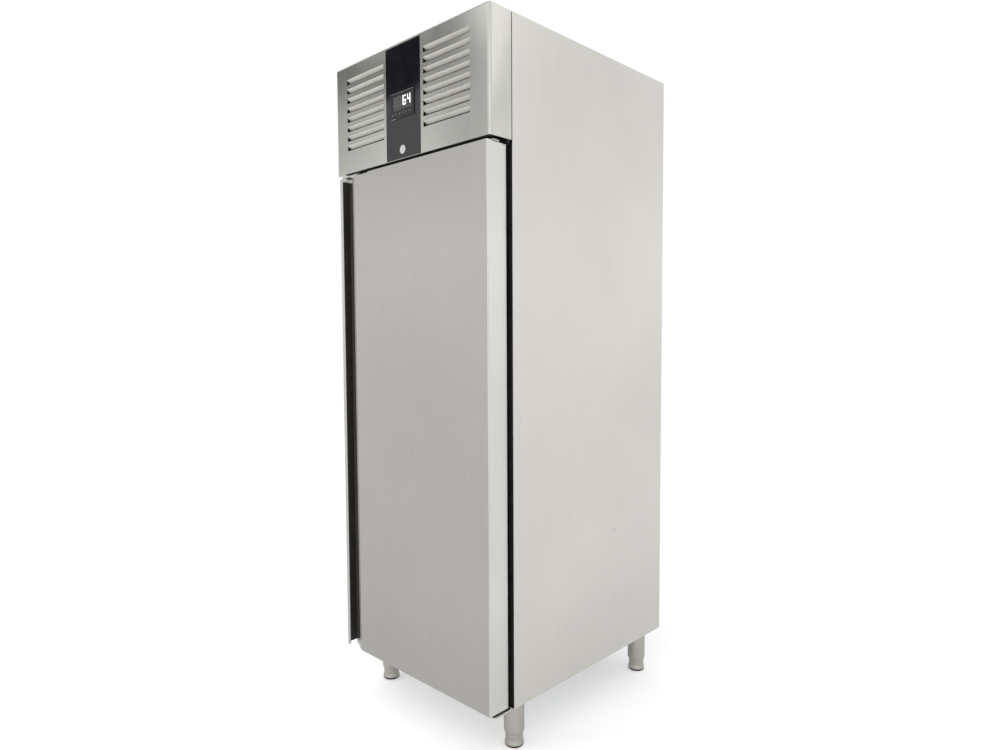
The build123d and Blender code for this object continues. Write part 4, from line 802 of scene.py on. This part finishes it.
def screen(name, middle, turns, rises, distance, level):
    """A curved screen round a middle that only reflections see, as bright as level says at each point."""
    across = round((turns[1] - turns[0]) / SCREEN_STEP)
    up = round((rises[1] - rises[0]) / SCREEN_STEP)
    points, levels, faces = [], [], []
    for row in range(up + 1):
        rise = rises[0] + row * SCREEN_STEP
        for column in range(across + 1):
            turn = turns[0] + column * SCREEN_STEP
            angle = math.radians(turn)
            points.append((middle[0] + distance * math.cos(angle), middle[1] + distance * math.sin(angle),
                           middle[2] + distance * math.tan(math.radians(rise))))
            levels.append(level(turn, rise))
            if row and column:
                last = len(points) - 1
                faces.append((last - across - 2, last - across - 1, last, last - 1))
    made, tree = stage_mesh(name, points, faces)
    made.data.attributes.new("level", "FLOAT", "POINT").data.foreach_set("value", levels)
    shade = tree.nodes.new("ShaderNodeAttribute")
    shade.attribute_name = "level"
    flat = tree.nodes.new("ShaderNodeEmission")
    tree.links.new(shade.outputs["Fac"], flat.inputs["Strength"])
    shown(tree, "ShaderNodeOutputMaterial", flat.outputs[0])
    reflected(made)


def card(name, across, deep, level):
    """A flat card just above the floor that only reflections see."""
    made, tree = flat_mesh(name, across, deep, CARD_HEIGHT)
    flat = tree.nodes.new("ShaderNodeEmission")
    flat.inputs["Strength"].default_value = level
    shown(tree, "ShaderNodeOutputMaterial", flat.outputs[0])
    reflected(made)


def lamp(name, place, aim, size, power):
    data = bpy.data.lights.new(name, "AREA")
    data.shape = "SQUARE"
    data.size = size
    data.energy = power
    made = bpy.data.objects.new(name, data)
    scene.collection.objects.link(made)
    made.location = place
    made.rotation_euler = (Vector(aim) - Vector(place)).to_track_quat("-Z", "Y").to_euler()
    made.visible_glossy = False


make_floor()
make_world()
STRIP_MIDDLE = ((bezel_low.x + bezel_high.x) / 2, FRONT_Y, FASCIA_Z + 170 * MM)
CASE_CORNER = (case_high.x, FRONT_Y, CAMERA_PLACE[2])
SIDE_MIDDLE = (case_high.x, FRONT_Y, FASCIA_Z + 170 * MM)
screen("screen_room", STRIP_MIDDLE, turns=(200, 236), rises=(1, 55), distance=20, level=room_level)
screen("screen_bright", CASE_CORNER, turns=(-56, -35), rises=(-18, 35), distance=2.7,
       level=lambda turn, rise: CORNER_LEVEL)
screen("screen_near_side", SIDE_MIDDLE, turns=(38, 55), rises=(-6, 46), distance=0.5, level=near_side_level)
screen("screen_far_side", SIDE_MIDDLE, turns=(30, 72), rises=(-5, 40), distance=20, level=far_side_level)
card("card_low", across=(-6, 0.34), deep=(-6, -0.9), level=0.87)
card("card_near", across=(-6, 0.34), deep=(-0.9, CASE_Y - 0.2), level=0.75)
card("card_side", across=(0.9, 8), deep=(-0.3, 6), level=0.98)
lamp("key", (2.6, -3.6, 4.2), (0, 0, 1.0), 3.0, 50)
lamp("fill", (-3.2, -2.4, 3.6), (0, 0, 1.0), 3.5, 30)
lamp("low", (-1.5, -2.6, 0.5), (0, FRONT_Y, 1.85), 0.8, 30)
